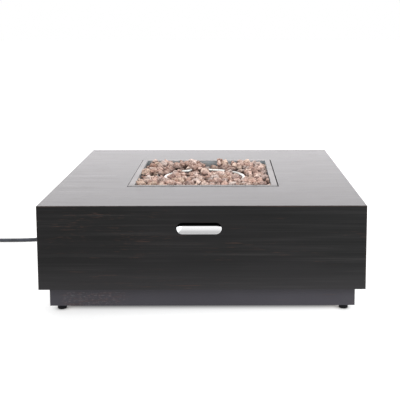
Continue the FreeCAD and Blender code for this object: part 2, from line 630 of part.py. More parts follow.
part("valve_spring", cut("spring", cyl("spring_out", 7.4, VL - 12 - 6 - 4.5, (CH0 + 4.4, VY, RZc), "x"), cyl("spring_in", 6.2, VL - 12 - 6, (CH0 + 3.4, VY, RZc), "x")))
KB = FACE - 8.6
part("valve_stem", fuse("stem", cyl("stem_shaft", d("stem_radius"), CH0 + 4.4 - (KB - 14), (CH0 + 4.4, VY, RZc), "-x"), cyl("stem_head", 5, 2, (CH0 + 4.4, VY, RZc), "x")))
dial = cut("dial", cyl("dial_disc", d("dial_outer"), 0.9, (FACE, VY, RZc), "-x"), cyl("dial_hole", d("dial_inner"), 3, (FACE + 1, VY, RZc), "-x"))
part("dial_ring", dial)

# control_knob: skirt, dome, finger flutes, pointer ridge
KR = d("knob_radius")
b = body("knob_body")
sk = sketch(b, "knob_section", "XZ_Plane")
poly(sk, [(0, 0), (KR - 0.8, 0), (KR, 0.8), (KR, 4), (KR - 3, 6), (KR - 4.2, 20), (KR - 5.6, 22), (KR - 9, 23), (0, 23)])
revolve(b, "knob_turned", sk)
sk = sketch(b, "knob_flute_outline", "XY_Plane", 24)
ring(sk, 0, KR + 0.4, 4.2)
fl = pocket(b, "knob_flute", sk, 17.5)
pat = b.newObject("PartDesign::PolarPattern", "knob_flutes")
pat.Originals = [fl]
pat.Axis = (sk, ["N_Axis"])
pat.Angle = 360
pat.Occurrences = 12
b.Tip = pat
doc.recompute()
sk = sketch(b, "knob_bore_outline", "XY_Plane", 0)
ring(sk, 0, 0, d("stem_radius"))
pocket(b, "knob_bore", sk, 14, True)
sk = sketch(b, "knob_pointer_outline", "XY_Plane", 23)
poly(sk, [(-1.2, 3), (1.2, 3), (1.2, KR - 7.5), (-1.2, KR - 7.5)])
pad(b, "knob_pointer", sk, 0.9)
b.Placement = FreeCAD.Placement(V(KB.v, VY.v, RZc.v), R(V(0, 1, 0), V(0, 0, 1), V(-1, 0, 0), "ZXY"))
for axis, q in zip("xyz", (KB, VY, RZc)):
    bind(b, "Placement.Base." + axis, q)
part("control_knob", b)

# ---- push igniter
IY, IF, IB = d("igniter_y"), d("igniter_front"), d("igniter_barrel")
ig = fuse("igniter_solid", cyl("igniter_collar", IF, 10, (FACE, IY, RZc), "-x"), cyl("igniter_tube", IB, SH + 36, (FACE, IY, RZc), "x"),
          box("igniter_terminal", (FACE + SH + 36, IY - 3, RZc - 0.4), (8, 6, 0.8)))
ig = cut("igniter", ig, cyl("igniter_bore", d("button_bore"), 26, (FACE - 10 - 1, IY, RZc), "x"))
part("igniter_body", ig)
part("igniter_nut", cut("igniter_lock", hexagon("igniter_hex", 15.5, 5, (BACK, IY, RZc), "x"), cyl("igniter_thread", IB + 0.05, 7, (BACK - 1, IY, RZc), "x")))
BR, B0 = d("button_radius"), FACE - 15.5
part("igniter_button", turned("igniter_button", [(0, 0), (BR, 0), (BR, 15.0), (BR - 0.7, 16.2), (BR - 2.4, 17), (BR - 5, 17.3), (0, 17.3)], (B0 + 17.3, IY, RZc), "-x"))
SPR0 = B0 + 17.3
part("igniter_spring", cut("button_spring", cyl("button_spring_out", 6.6, FACE + 15 - SPR0 - 0.2, (SPR0 + 0.1, IY, RZc), "x"), cyl("button_spring_in", 5.4, 30, (SPR0 - 2, IY, RZc), "x")))

# ---- lifting pulls: a scooped stainless lower lip in a stadium opening, a black pocket behind
PXc, PZ, PWd, PT, PD, PSh = d("pull_x"), d("pull_z"), d("pull_wide"), d("pull_tall"), d("pull_deep"), d("pull_sheet")
PE, AXIS, LIP = d("pull_edge"), d("pull_axis"), d("pull_lip")


def scoop_profile(sk, n=7):
    """Curved strip from the lip in and up to the free edge, in depth and height about the bowl's axis."""
    z0, z1 = -PT / 2 - AXIS, PE - AXIS
    my, mz = d("scoop_mid_deep"), z0 + PSh + d("scoop_mid_high")
    inner, outer = [], []
    for i in range(n + 1):
        t = i / n
        # quadratic blend, at about 50 degrees by the lip and 68 by the free edge
        k0, k1, k2 = (1 - t) ** 2, 2 * t * (1 - t), t * t
        inner.append((my * k1 + PD * k2, (z0 + PSh) * k0 + mz * k1 + z1 * k2))
        outer.append(((my + PSh * 0.7) * k1 + (PD + PSh) * k2, z0 * k0 + (mz - PSh * 0.7) * k1 + z1 * k2))
    poly(sk, inner + outer[::-1])


pockets, pocket_screws = [], []
for side, s in (("front", -1), ("rear", 1)):
    cx = PXc if side == "front" else -PXc
    half = PWd / 2 - PT / 2
    ph, ps = d("pocket_half"), d("pocket_sheet")
    b = body(side + "_scoop_body")
    sk = sketch(b, side + "_scoop_middle", "YZ_Plane")
    scoop_profile(sk)
    p = pad(b, side + "_scoop_trough", sk, 2 * half)
    p.Midplane = True
    for k, e in enumerate((1, -1)):
        sk = sketch(b, "%s_scoop_end_section%d" % (side, k), "YZ_Plane", e * half)
        scoop_profile(sk)
        f = b.newObject("PartDesign::Revolution", "%s_scoop_end%d" % (side, k))
        f.Profile = sk
        f.ReferenceAxis = (sk, ["H_Axis"])
        f.Angle = 90
        f.Reversed = e > 0
    sk = sketch(b, side + "_scoop_outside", "XZ_Plane", 1)
    rect(sk, 0, 0, PWd + 90, PT + 90)
    slot(sk, 0, -AXIS, PWd, PT)
    pocket(b, side + "_scoop_trim", sk, PD + 12)
    sk = sketch(b, side + "_sleeve_outline", "XZ_Plane")
    slot(sk, 0, -AXIS, PWd, PT)
    slot(sk, 0, -AXIS, PWd - 2 * PSh, PT - 2 * PSh)
    pad(b, side + "_sleeve", sk, WALL + PSh, True)
    sk = sketch(b, side + "_scoop_top", "XZ_Plane", 1)
    rect(sk, 0, PE - AXIS + 20, PWd + 20, 40)
    pocket(b, side + "_scoop_edge", sk, PD + 12)
    turn = R() if s < 0 else R(V(0, 0, 1), 180)
    put(b, (cx, s * D2, PZ + AXIS), turn)
    ears = []
    for k, e in enumerate((-1, 1)):
        ex = cx + e * (PWd / 2 - LIP) - (0 if e > 0 else (ph + 16 - PWd / 2 + LIP))
        ey = -(D2 - WALL) if s < 0 else D2 - WALL - PSh
        ear = box("%s_ear%d" % (side, k), (ex, ey, PZ - 12), (ph + 16 - PWd / 2 + LIP, PSh, 12 + PE))
        ears.append(cut("%s_ear_bored%d" % (side, k), ear, cyl("%s_ear_hole%d" % (side, k), 2.2, PSh + 4, (cx + e * (ph + 8), ey - 2, PZ - 4), "y")))
    part(side + "_pull", fuse(side + "_pull_solid", b, *ears))
    # pocket: black box screwed against the inside of the wall
    inside = D2 - WALL - PSh
    deep = d("pocket_deep") - WALL - PSh

    def from_wall(a, b_):
        """least Y of a span from a to b_ behind the wall"""
        return (-inside + a) if s < 0 else (inside - b_)

    tub = box(side + "_pocket_tub", (cx - ph, from_wall(Q(0, "0"), deep), PZ - d("pocket_drop")), (2 * ph, deep, d("pocket_drop") + d("pocket_rise")))
    wings = box(side + "_pocket_wings", (cx - ph - 16, from_wall(Q(0, "0"), ps), PZ - 12), (2 * ph + 32, ps, 12 + PE))
    hollow = box(side + "_pocket_hollow", (cx - ph + ps, from_wall(Q(-1, "-1"), deep - ps), PZ - d("pocket_drop") + ps),
                 (2 * (ph - ps), deep - ps + 1, d("pocket_drop") + d("pocket_rise") - 2 * ps))
    solid = cut(side + "_pocket_open", fuse(side + "_pocket_solid", tub, wings), hollow)
    way = "-y" if s < 0 else "y"
    for k, e in enumerate((-1, 1)):
        hx = cx + e * (ph + 8)
        solid = cut("%s_pocket_bored%d" % (side, k), solid, cyl("%s_pocket_bore%d" % (side, k), 2.2, ps + 4, (hx, s * (inside - ps - 2), PZ - 4), way))
        n = "%s_pocket_screw%d" % (side, k)
        pocket_screws.append(fuse(n, cyl(n + "_head", 4, 2.4, (hx, s * (inside - ps - 2.4), PZ - 4), way), cyl(n + "_shank", 2.15, ps + PSh, (hx, s * (inside - ps), PZ - 4), way)))
    pockets.append(solid)
part("pull_pockets", group("pockets", *pockets))
part("pocket_screws", group("pocket_fixings", *pocket_screws))


# ---- tubes: straight runs joined by tangent arcs
def tube_path(name, pts, show_radii=True):
    pts = [V(*p) for p in pts]
    n = len(pts)
    lengths = [(pts[i + 1] - pts[i]).Length for i in range(n - 1)]
    edges, here, radii = [], pts[0], []
    for i in range(1, n - 1):
        u = (pts[i] - pts[i - 1]).normalize()
        w = (pts[i + 1] - pts[i]).normalize()
        turn = u.getAngle(w)
        back = 0.45 * min(lengths[i - 1], lengths[i])
        radii.append(back / math.tan(turn / 2))
        a, b = pts[i] - u * back, pts[i] + w * back
        centre_way = (w - u).normalize()
        centre = pts[i] + centre_way * (radii[-1] / math.cos(turn / 2))
        mid_pt = centre - centre_way * radii[-1]
        edges.append(Part.LineSegment(here, a).toShape())
        edges.append(Part.Arc(a, mid_pt, b).toShape())
        here = b
    edges.append(Part.LineSegment(here, pts[-1]).toShape())
    wire = Part.Wire(edges)
    if show_radii and radii:
        print("%s: length %.1f, radii %s" % (name, wire.Length, " ".join("%.0f" % r for r in radii)))
    return wire


def tube(name, pts, radius):
    wire = tube_path(name, pts)
    first = wire.Edges[0]
    way = V(*pts[1]) - V(*pts[0])
    ring_wire = Part.Wire([Part.Circle(V(*pts[0]), way, radius).toShape()])
    maker = Part.BRepOffsetAPI.MakePipeShell(wire)
    maker.setFrenetMode(False)
    maker.add(ring_wire)
    maker.build()
    maker.makeSolid()
    shape = maker.shape()
    if shape.ShapeType != "Solid":
        shape = shape.Solids[0]
    if shape.Volume < 0:
        shape.reverse()
    want = math.pi * radius * radius * wire.Length
    print("%s: volume %.0f, section times length %.0f, ratio %.4f" % (name, shape.Volume, want, shape.Volume / want))
    o = doc.addObject("Part::Feature", name + "_tube")
    o.Shape = shape
    o.Placement = FreeCAD.Placement()
    return o


v = values
valve_x = BACK.v + VL.v / 2
feed_z = v["feed_height"]
part("burner_flex_line", tube("burner_flex_line", [
    (valve_x, VY.v - VS.v / 2 - 14, feed_z), (valve_x, 128, feed_z), (valve_x + 14, 66, feed_z - 4), (valve_x + 62, 26, feed_z - 9),
    (valve_x + 128, 15, feed_z - 12), (valve_x + 200, 16.5, feed_z - 12.5), (valve_x + 272, 17, feed_z - 9), (valve_x + 335, 16, feed_z - 3.5),
    (OX.v - ES.v / 2 - 52, 16, feed_z), (OX.v - ES.v / 2 - 15, 16, feed_z)], 6.5))
lead_x = FACE.v + SH.v + 44
ex, ey = v["bracket_x"], v["electrode_y"]
iy, iz = v["igniter_y"], RZc.v
part("igniter_lead", tube("igniter_lead", [
    (lead_x, iy, iz), (lead_x + 22, iy - 1, iz + 1), (lead_x + 46, iy - 18, iz + 8), (lead_x + 62, iy - 60, iz + 16),
    (lead_x + 78, iy - 116, iz + 21), (lead_x + 104, iy - 172, iz + 25), (lead_x + 140, iy - 222, iz + 28), (lead_x + 172, iy - 254, iz + 29),
    (ex - 44, ey + 20, iz + 29), (ex - 19, ey + 8, iz + 32), (ex - 5, ey + 2, iz + 40), (ex, ey, iz + 51), (ex, ey, v["ceramic_low"] - 8)], 1.5))
sx, sy, sz = BACK.v + VL.v - 8, VY.v - 6, iz + VS.v / 2
ty_ = v["thermo_y"]
part("thermocouple_lead", tube("thermocouple_lead", [
    (sx, sy, sz), (sx, sy, sz + 9), (sx + 3, sy - 2.5, sz + 18), (sx + 13, sy - 9, sz + 25), (sx + 31, sy - 21, sz + 28.5),
    (sx + 58, sy - 42, sz + 29.5), (sx + 98, sy - 72, sz + 30), (sx + 142, sy - 106, sz + 30.5), (sx + 184, sy - 134, sz + 31),
    (ex - 34, ty_ + 21, sz + 32.5), (ex - 11, ty_ + 7, sz + 38), (ex, ty_, sz + 49), (ex, ty_, SZ.v + BT.v - 22)], 1.1))

# ---- inlet fitting, swivel nut, ferrule and clip where the hose starts
IN_TOP = RZc - VS / 2
part("valve_inlet_fitting", cut("inlet", fuse("inlet_solid", hexagon("inlet_hex", 9.8, 8, (BACK + VL / 2, VY, IN_TOP - 8)),
     cyl("inlet_thread", 7, 14, (BACK + VL / 2, VY, IN_TOP - 22))), cyl("inlet_way", 4, 30, (BACK + VL / 2, VY, IN_TOP - 25))))
HS = d("hose_start")
NT = IN_TOP - 10
part("hose_swivel_nut", cut("swivel", hexagon("swivel_hex", 11.4, NT - (HS + 26), (BACK + VL / 2, VY, HS + 26)),
     cyl("swivel_thread", 7.05, 13, (BACK + VL / 2, VY, IN_TOP - 22)), cyl("swivel_mouth", 4, 60, (BACK + VL / 2, VY, HS))))
part("hose_ferrule_valve", turned("hose_ferrule_valve", [
    (0, 0), (d("ferrule_radius") - 0.6, 0), (d("ferrule_radius"), 0.6), (d("ferrule_radius"), 7), (d("ferrule_radius") - 0.7, 8), (d("ferrule_radius") - 0.7, 11), (d("ferrule_radius"), 12),
    (d("ferrule_radius"), 21), (d("ferrule_radius") - 1, 22), (6.2, 22), (6.2, 26), (0, 26)], (BACK + VL / 2, VY, HS)))
CZ = LAP - 10
clip = fuse("clip_solid", cyl("clip_band", d("hose_radius") + 2, 10, (BACK + VL / 2, VY + 0.15, CZ)), box("clip_tab", (-(PX - PW), VY - 6, CZ), (11, 12, 10)))
part("hose_clip", cut("clip", clip, cyl("clip_bore", d("hose_radius") + 0.45, 14, (BACK + VL / 2, VY + 0.15, CZ - 2))))

# ---- gas hose: out of the swivel nut, down to the floor, out under the plinth's left side
ax, ay, az = valve_x, VY.v, HS.v
fz = v["hose_radius"]
HOSE = [
    (ax, ay, az), (ax, ay, az - 36), (ax + 0.8, ay + 9, az - 75), (ax + 1.6, ay + 34, az - 108), (ax + 0.4, ay + 70, az - 127),
    (ax - 8, ay + 107, fz + 0.6), (ax - 30, ay + 139, fz), (ax - 64, ay + 160, fz), (-548, 379, fz), (-590, 367, fz), (-634, 345, fz), (-678, 317, fz),
    (-724, 297.5, fz), (-772, 292.8, fz), (-822, 291.6, fz), (-872, 291.3, fz), (-922, 291.9, fz), (-968, 293.2, fz), (-1012, 292.8, fz)]
part("gas_hose", tube("gas_hose", HOSE, v["hose_radius"]))
# coil of the spare length: closed solid of its outer shape
cx_, cy_ = v["coil_x"], v["coil_y"]
ro_, ri_ = v["coil_outer"] + fz, v["coil_inner"] - fz
part("hose_coil", cut("coil", cyl("coil_out", d("coil_outer") + d("hose_radius"), 2 * d("hose_radius") * d("coil_layers"), (d("coil_x"), d("coil_y"), 0)),
     cyl("coil_in", d("coil_inner") - d("hose_radius"), 80, (d("coil_x"), d("coil_y"), -10))))
tx, ty, tz = v["bottle_x"], v["bottle_y"], v["bottle_z"]
TAIL = [(cx_ - v["coil_outer"], cy_ + 4, 3 * fz), (tx - 0.6, cy_ + 42, 17.5), (tx - 1.6, cy_ + 80, 14.6), (tx - 1.8, cy_ + 118, 16), (tx - 1.0, cy_ + 156, 21.2),
        (tx, cy_ + 189, tz), (tx, ty, tz)]
part("hose_tail", tube("hose_tail", TAIL, v["hose_radius"]))

# ---- bottle end: ferrule, regulator, nipple and hand wheel, lying on the floor along Y
BX_, BY_, BZ_ = d("bottle_x"), d("bottle_y"), d("bottle_z")
part("hose_ferrule_bottle", turned("hose_ferrule_bottle", [
    (0, 0), (d("ferrule_radius") - 0.6, 0), (d("ferrule_radius"), 0.6), (d("ferrule_radius"), 7), (d("ferrule_radius") - 0.7, 8), (d("ferrule_radius") - 0.7, 11), (d("ferrule_radius"), 12),
    (d("ferrule_radius"), 21), (d("ferrule_radius") - 1, 22), (6.2, 22), (6.2, 26), (0, 26)], (BX_, BY_, BZ_), "y"))
part("regulator_outlet_nut", hexagon("outlet_hex", 10, 12, (BX_, BY_ + 26, BZ_), "y"))
RC = BY_ + 38 + 36
part("regulator_body", fuse("regulator_low", cyl("regulator_cup", 28, 33, (BX_, RC, 0.2)), cyl("regulator_rim", 32, 3.5, (BX_, RC, 33.2)),
     cyl("regulator_out", 9.4, 36, (BX_, RC - 36, BZ_), "y"), cyl("regulator_in", 9.6, 36, (BX_, RC, BZ_), "y")))
part("regulator_bonnet", turned("regulator_bonnet", [(0, 0), (32, 0), (32, 3), (27.4, 3), (26.6, 7), (24.5, 11), (20.5, 15), (14, 17), (0, 17)], (BX_, RC, 36.7)))
rscrew = []
for k in range(6):
    a = math.radians(60 * k + 30)
    rscrew.append(cyl("regulator_screw%d" % k, 1.7, 1.6, (BX_ + 29.6 * math.cos(a), RC + 29.6 * math.sin(a), 39.7)))
part("regulator_screws", group("regulator_fixings", *rscrew))
part("regulator_vent", cut("vent", cyl("vent_out", 4, 5, (BX_ + 8, RC, 53.7)), cyl("vent_in", 2.2, 6, (BX_ + 8, RC, 53.9))))
NY = RC + 36
part("bottle_nipple", turned("bottle_nipple", [(0, 0), (9, 0), (9, 5), (7, 5), (7, 30), (9.5, 30), (9.5, 34), (8, 38), (5.5, 46), (3.5, 49), (0, 49)], (BX_, NY, BZ_), "y"))
WR = d("wheel_radius")
b = body("wheel_body")
sk = sketch(b, "wheel_section", "XZ_Plane")
poly(sk, [(7.06, 8), (WR - 3, 8), (WR, 11), (WR, 30), (WR - 2, 33), (18.6, 33), (18.6, 35), (17, 35), (17, 14), (7.06, 14)])
revolve(b, "wheel_turned", sk)
sk = sketch(b, "wheel_grip_outline", "XY_Plane", 40)
ring(sk, 0, WR + 1.6, 4)
gr = pocket(b, "wheel_grip", sk, 40)
pat = b.newObject("PartDesign::PolarPattern", "wheel_grips")
pat.Originals = [gr]
pat.Axis = (sk, ["N_Axis"])
pat.Angle = 360
pat.Occurrences = 10
b.Tip = pat
put(b, (BX_, NY, BZ_), TURN["y"])
part("bottle_handwheel", b)


# ---- loose rock
def hull_faces(pts):
    """Triangles of the convex hull of a few points in general position."""
    n, out = len(pts), []
    for i in range(n):
        for j in range(i + 1, n):
            for k in range(j + 1, n):
                nrm = (pts[j] - pts[i]).cross(pts[k] - pts[i])
                if nrm.Length < 1e-9:
                    continue
                side = [nrm.dot(pts[m] - pts[i]) for m in range(n) if m not in (i, j, k)]
                if all(t < 0 for t in side):
                    out.append((i, j, k))
                elif all(t > 0 for t in side):
                    out.append((i, k, j))
    return out


def rock(pts, faces=None):
    faces = faces or hull_faces(pts)
    made = Part.Solid(Part.Shell([Part.Face(Part.makePolygon([pts[a], pts[b_], pts[c], pts[a]])) for a, b_, c in faces]))
    if made.Volume < 0:
        made.reverse()
    return made


def kind_points(k):
    """One of the rock forms, with its longest side about 1."""
    r = random.Random(4100 + k)
    n = 11
    u1, u2 = r.uniform(0.74, 0.96), r.uniform(0.56, 0.80)
    pts = []
    for i in range(n):
        z = 1 - (2 * i + 1) / n
        a = i * 2.399963 + r.uniform(-0.45, 0.45)
        z = max(-0.97, min(0.97, z + r.uniform(-0.10, 0.10)))
        q = math.sqrt(1 - z * z)
        m = r.uniform(0.84, 1.12) * 0.5
        pts.append(V(m * q * math.cos(a), m * u1 * q * math.sin(a), m * u2 * z))
    return pts


# form, size, then place and turn (quaternion w, x, y, z), from the middle of the pan's floor
ROCKS = [
    (3, 47.9, -219.10, -202.08, 11.60, -0.7081, 0.1794, -0.2480, 0.6363),
    (2, 45.7, -197.28, -141.65, 11.00, 0.9753, -0.1469, 0.0668, -0.1505),
    (9, 46.7, -213.75, -112.45, 10.30, 0.2935, -0.0601, -0.2325, 0.9253),
    (9, 42.7, -198.18, -60.17, 11.05, 0.1585, 0.6933, -0.5337, -0.4575),
    (7, 44.6, -207.34, 40.19, 8.68, -0.1618, -0.1539, 0.9592, 0.1731),
    (3, 43.9, -204.67, 96.97, 10.94, -0.6968, -0.2835, -0.4364, -0.4937),
    (11, 46.7, -196.10, 155.35, 13.33, 0.8450, 0.2087, 0.4405, -0.2201),
    (13, 47.5, -191.66, 193.45, 10.15, -0.1529, -0.0073, 0.9827, 0.1044),
    (6, 48.4, -158.39, -210.97, 16.55, -0.0597, 0.3157, 0.8843, -0.3387),
    (2, 50.7, -133.53, -110.22, 12.20, 0.5348, -0.1211, -0.1073, 0.8294),
    (8, 45.9, -157.04, 115.34, 13.00, 0.8346, -0.4239, 0.3412, -0.0853),
    (0, 48.7, -157.80, 149.44, 17.29, -0.3382, -0.3872, 0.7409, -0.4321),
    (1, 43.6, -147.84, 194.83, 11.13, 0.2144, -0.3022, -0.9129, -0.1711),
    (12, 42.3, -105.50, -138.47, 13.03, 0.5676, -0.4434, 0.6677, 0.1882),
    (13, 44.7, -83.75, -71.05, 9.35, 0.0610, -0.4378, -0.8877, -0.1284),
    (9, 49.2, -114.40, -36.64, 12.56, 0.0024, 0.1106, -0.6597, -0.7434),
    (6, 49.1, -76.31, -25.00, 15.96, 0.2309, -0.6495, 0.5989, 0.4076),
    (6, 46.0, -89.19, 54.31, 14.74, 0.2876, -0.5896, 0.6519, 0.3805),
    (12, 47.8, -104.94, 188.76, 12.87, 0.1821, -0.1295, -0.9740, -0.0370),
    (2, 50.8, -42.98, -208.41, 8.84, -0.0044, -0.6644, -0.7238, -0.1860),
    (1, 42.4, -73.72, -172.71, 15.06, 0.6102, 0.3796, -0.4817, 0.5015),
    (7, 44.2, -63.17, -116.46, 11.56, -0.6234, -0.2296, -0.2639, -0.6993),
    (10, 46.4, -34.14, -54.38, 9.61, 0.2356, 0.4084, -0.8741, -0.1169),
    (6, 47.1, -62.87, 32.78, 12.54, -0.6401, 0.1525, -0.1781, 0.7317),
    (9, 44.3, -10.35, -194.93, 10.23, 0.5200, 0.6903, -0.2107, -0.4568),
    (0, 50.6, -13.43, -87.52, 12.37, 0.1210, 0.8057, -0.5797, -0.0094),
    (9, 48.7, -6.86, -33.12, 16.15, -0.7247, 0.1770, 0.6656, -0.0213),
    (5, 51.6, -14.42, 59.17, 11.33, 0.1166, -0.4016, -0.8980, -0.1368),
    (9, 47.7, 20.06, 93.43, 11.01, 0.4494, 0.6532, -0.3071, -0.5264),
    (11, 48.6, 2.40, 181.81, 14.30, 0.3745, -0.9272, 0.0044, 0.0056),
    (10, 50.3, 50.30, -207.22, 15.38, -0.7771, 0.5393, 0.3233, 0.0282),
    (9, 44.7, 80.11, -179.49, 11.28, 0.3815, 0.4752, 0.7789, 0.1482),
    (1, 42.6, 38.25, -118.89, 15.70, 0.3048, 0.7206, 0.3910, 0.4847),
    (13, 48.4, 59.87, -51.82, 10.12, 0.9342, -0.1677, -0.0243, 0.3140),
    (7, 42.9, 55.21, -20.18, 15.27, -0.7355, 0.5485, -0.3782, 0.1226),
    (12, 42.7, 48.16, 78.27, 11.44, 0.7486, -0.3589, 0.3415, -0.4407),
    (2, 42.2, 69.72, 108.33, 9.52, 0.6130, 0.4190, -0.2647, -0.6153),
    (6, 49.7, 57.36, 187.62, 16.10, -0.0373, 0.4547, -0.7979, -0.3939),
    (13, 43.2, 92.98, -213.47, 9.04, 0.0902, -0.2104, -0.9672, -0.1098),
    (9, 48.1, 116.89, -149.02, 13.01, 0.1364, 0.9186, 0.3689, 0.0395),
    (0, 45.1, 93.14, 54.12, 8.49, -0.7951, 0.1584, 0.0987, -0.5771),
    (1, 43.1, 111.07, 180.78, 11.00, 0.1848, -0.4418, -0.8541, -0.2026),
    (8, 42.3, 159.25, -180.21, 9.62, 0.2839, 0.5454, -0.7876, -0.0407),
    (3, 51.7, 163.20, -152.48, 12.28, 0.1137, 0.8887, 0.3842, 0.2231),
    (4, 48.1, 156.66, -79.86, 12.44, -0.4610, 0.0455, 0.1534, -0.8729),
    (2, 48.9, 153.17, 98.30, 8.37, 0.2108, 0.8668, -0.4477, 0.0616),
    (13, 45.4, 146.31, 153.60, 9.66, 0.8197, -0.1936, -0.0856, 0.5322),
    (5, 51.6, 136.00, 200.70, 14.06, -0.4302, 0.1944, 0.1144, 0.8741),
    (13, 45.8, 205.52, -196.79, 9.58, -0.2307, 0.0686, 0.1550, -0.9581),
    (7, 50.7, 199.93, -164.05, 13.44, 0.4676, -0.0525, -0.0903, -0.8777),
    (6, 48.4, 210.90, -102.06, 15.51, 0.0702, -0.4057, 0.1628, 0.8967),
    (9, 48.8, 207.63, -37.44, 11.27, -0.6705, -0.5632, -0.4514, -0.1720),
    (1, 48.2, 197.22, 11.76, 12.31, -0.1581, -0.9293, 0.2475, -0.2241),
    (12, 47.1, 186.19, 49.89, 12.68, -0.1356, -0.7192, 0.6695, -0.1270),
    (6, 48.3, 193.77, 103.73, 15.91, 0.3958, 0.6582, 0.6396, 0.0326),
    (11, 44.4, 186.11, 150.68, 11.83, 0.3684, -0.0938, 0.2671, -0.8855),
    (4, 46.4, 207.84, 192.48, 13.35, 0.3866, 0.6153, 0.5524, -0.4084),
    (4, 47.2, -181.53, -177.77, 12.21, 0.9729, -0.1494, -0.0576, 0.1671),
    (8, 45.4, -219.05, -161.72, 13.03, -0.3745, 0.7160, -0.5480, 0.2163),
    (9, 45.1, -161.50, -41.85, 11.40, -0.4084, -0.6874, -0.6000, -0.0266),
    (7, 45.5, -186.40, 123.86, 12.61, 0.1641, -0.7905, 0.5356, 0.2477),
    (5, 48.1, -213.24, 216.38, 10.50, 0.8197, 0.5639, 0.0552, -0.0835),
    (10, 42.2, -166.29, -105.26, 13.22, -0.5203, 0.6872, -0.1461, 0.4854),
    (7, 45.0, -117.06, 136.09, 8.76, 0.0531, -0.3480, -0.9071, -0.2310),
    (12, 31.5, -114.06, -61.22, 8.44, -0.8620, 0.4926, -0.0515, -0.1081),
    (9, 39.0, -122.47, 43.29, 10.60, -0.1207, -0.8053, -0.5764, -0.0683),
    (3, 38.2, -65.26, -196.87, 12.38, -0.4474, 0.1844, -0.8642, 0.1382),
    (2, 38.9, -46.19, -96.24, 10.28, -0.5500, 0.1522, 0.1554, 0.8064),
    (10, 39.4, -66.89, -51.34, 8.17, 0.2341, 0.4024, -0.8771, -0.1185),
    (1, 36.9, -35.47, -24.63, 13.42, 0.3659, 0.0519, 0.7522, 0.5456),
    (5, 38.8, -32.37, 44.29, 8.55, -0.7706, -0.5519, 0.1164, 0.2966),
    (3, 32.9, -14.84, 92.83, 10.74, 0.2389, 0.4120, 0.7911, -0.3839),
    (13, 46.8, -75.62, 170.18, 10.03, -0.5559, 0.2861, -0.5145, 0.5869),
    (3, 41.9, 12.35, -70.99, 13.55, -0.2886, 0.8731, -0.1359, -0.3687),
    (3, 30.1, 11.29, 26.05, 8.15, 0.5745, -0.1938, -0.0853, 0.7906),
    (2, 44.0, -15.30, 204.11, 10.10, 0.1589, 0.2294, -0.4353, -0.8559),
    (5, 42.4, 8.41, -180.02, 9.41, -0.9188, 0.1893, -0.1106, 0.3283),
    (4, 33.5, 45.90, 30.91, 11.17, -0.4914, -0.4379, 0.5406, -0.5239),
    (10, 32.4, 100.94, 87.99, 6.71, -0.0174, -0.6500, -0.7130, -0.2624),
    (0, 45.7, 117.58, -206.20, 11.46, -0.5536, -0.3569, -0.4917, -0.5695),
    (2, 27.8, 136.35, -152.12, 14.44, 0.2138, 0.7027, -0.4530, -0.5052),
    (7, 46.3, 63.44, -105.38, 13.87, 0.0827, 0.8637, -0.3702, -0.3319),
    (11, 28.2, 116.86, 18.99, 7.53, 0.3352, -0.1137, -0.2591, 0.8987),
    (12, 38.5, 139.59, -214.47, 12.14, 0.5886, -0.0675, 0.2425, -0.7682),
    (8, 30.7, 153.74, -131.07, 8.81, 0.4201, -0.8960, -0.1006, 0.1033),
    (13, 36.5, 121.83, 155.11, 10.32, 0.3560, 0.8787, -0.0219, 0.3174),
    (12, 39.3, 193.07, -132.40, 12.48, 0.2176, -0.8652, 0.4444, -0.0809),
    (3, 45.0, 185.03, -65.24, 15.30, 0.8386, 0.2638, -0.0712, 0.4713),
    (0, 33.9, 171.60, -11.72, 8.21, -0.0540, -0.0069, 0.9937, 0.0980),
    (1, 27.3, 158.72, 64.20, 7.98, -0.8959, -0.1952, 0.0462, -0.3963),
    (1, 35.2, -173.59, 66.57, 11.74, 0.6450, -0.5202, 0.5560, 0.0650),
    (13, 26.4, -229.54, 56.97, 8.04, 0.5295, 0.5308, 0.6596, 0.0523),
    (3, 42.0, -222.92, 121.97, 10.51, 0.4028, -0.6563, 0.1706, -0.6147),
    (12, 26.6, -227.28, 179.99, 7.36, -0.0267, 0.7295, 0.6470, 0.2202),
    (0, 41.0, -159.95, -77.61, 10.11, -0.0858, -0.6227, 0.7771, 0.0321),
    (8, 34.8, -128.39, 110.86, 10.19, -0.1808, -0.0877, 0.0313, -0.9791),
    (0, 43.8, -104.78, 15.94, 12.49, -0.3187, 0.8620, -0.3046, -0.2501),
    (1, 34.7, -105.59, 75.38, 8.86, -0.2466, 0.0951, 0.9570, 0.1200),
    (7, 30.1, -116.46, 162.16, 7.99, -0.2177, 0.8944, -0.3895, -0.0318),
    (4, 27.7, -73.39, -91.66, 16.11, 0.3949, 0.2099, -0.8312, -0.3303),
    (5, 32.6, -53.01, -77.18, 9.25, -0.3216, -0.2099, -0.9207, 0.0701),
    (11, 40.1, -72.72, 88.10, 11.50, -0.2724, 0.7912, -0.5231, 0.1619),
    (12, 25.9, -39.89, 78.21, 8.21, 0.0447, -0.1199, -0.9763, 0.1744),
    (12, 35.4, -36.27, -120.47, 11.01, -0.5474, -0.1683, -0.7808, 0.2497),
    (10, 42.2, 12.12, -127.81, 15.85, -0.9049, -0.1933, -0.3665, -0.0971),
    (7, 41.1, 33.83, 48.68, 9.93, 0.2719, -0.0833, -0.1229, 0.9508),
    (5, 32.5, 24.89, 131.06, 7.12, -0.1793, -0.3611, 0.9150, 0.0121),
    (11, 32.4, 33.12, 208.12, 10.64, 0.2699, 0.0771, -0.8029, -0.5258),
    (0, 28.7, 69.22, -217.78, 10.49, 0.3644, 0.3828, -0.0402, -0.8480),
    (6, 28.3, 18.95, -27.09, 8.81, -0.7228, -0.4284, -0.3220, -0.4363),
    (2, 44.5, 70.73, 32.24, 13.44, -0.7822, -0.3030, -0.1569, 0.5213),
    (5, 31.4, 63.07, 56.86, 9.01, -0.1484, 0.4337, 0.8543, -0.2453),
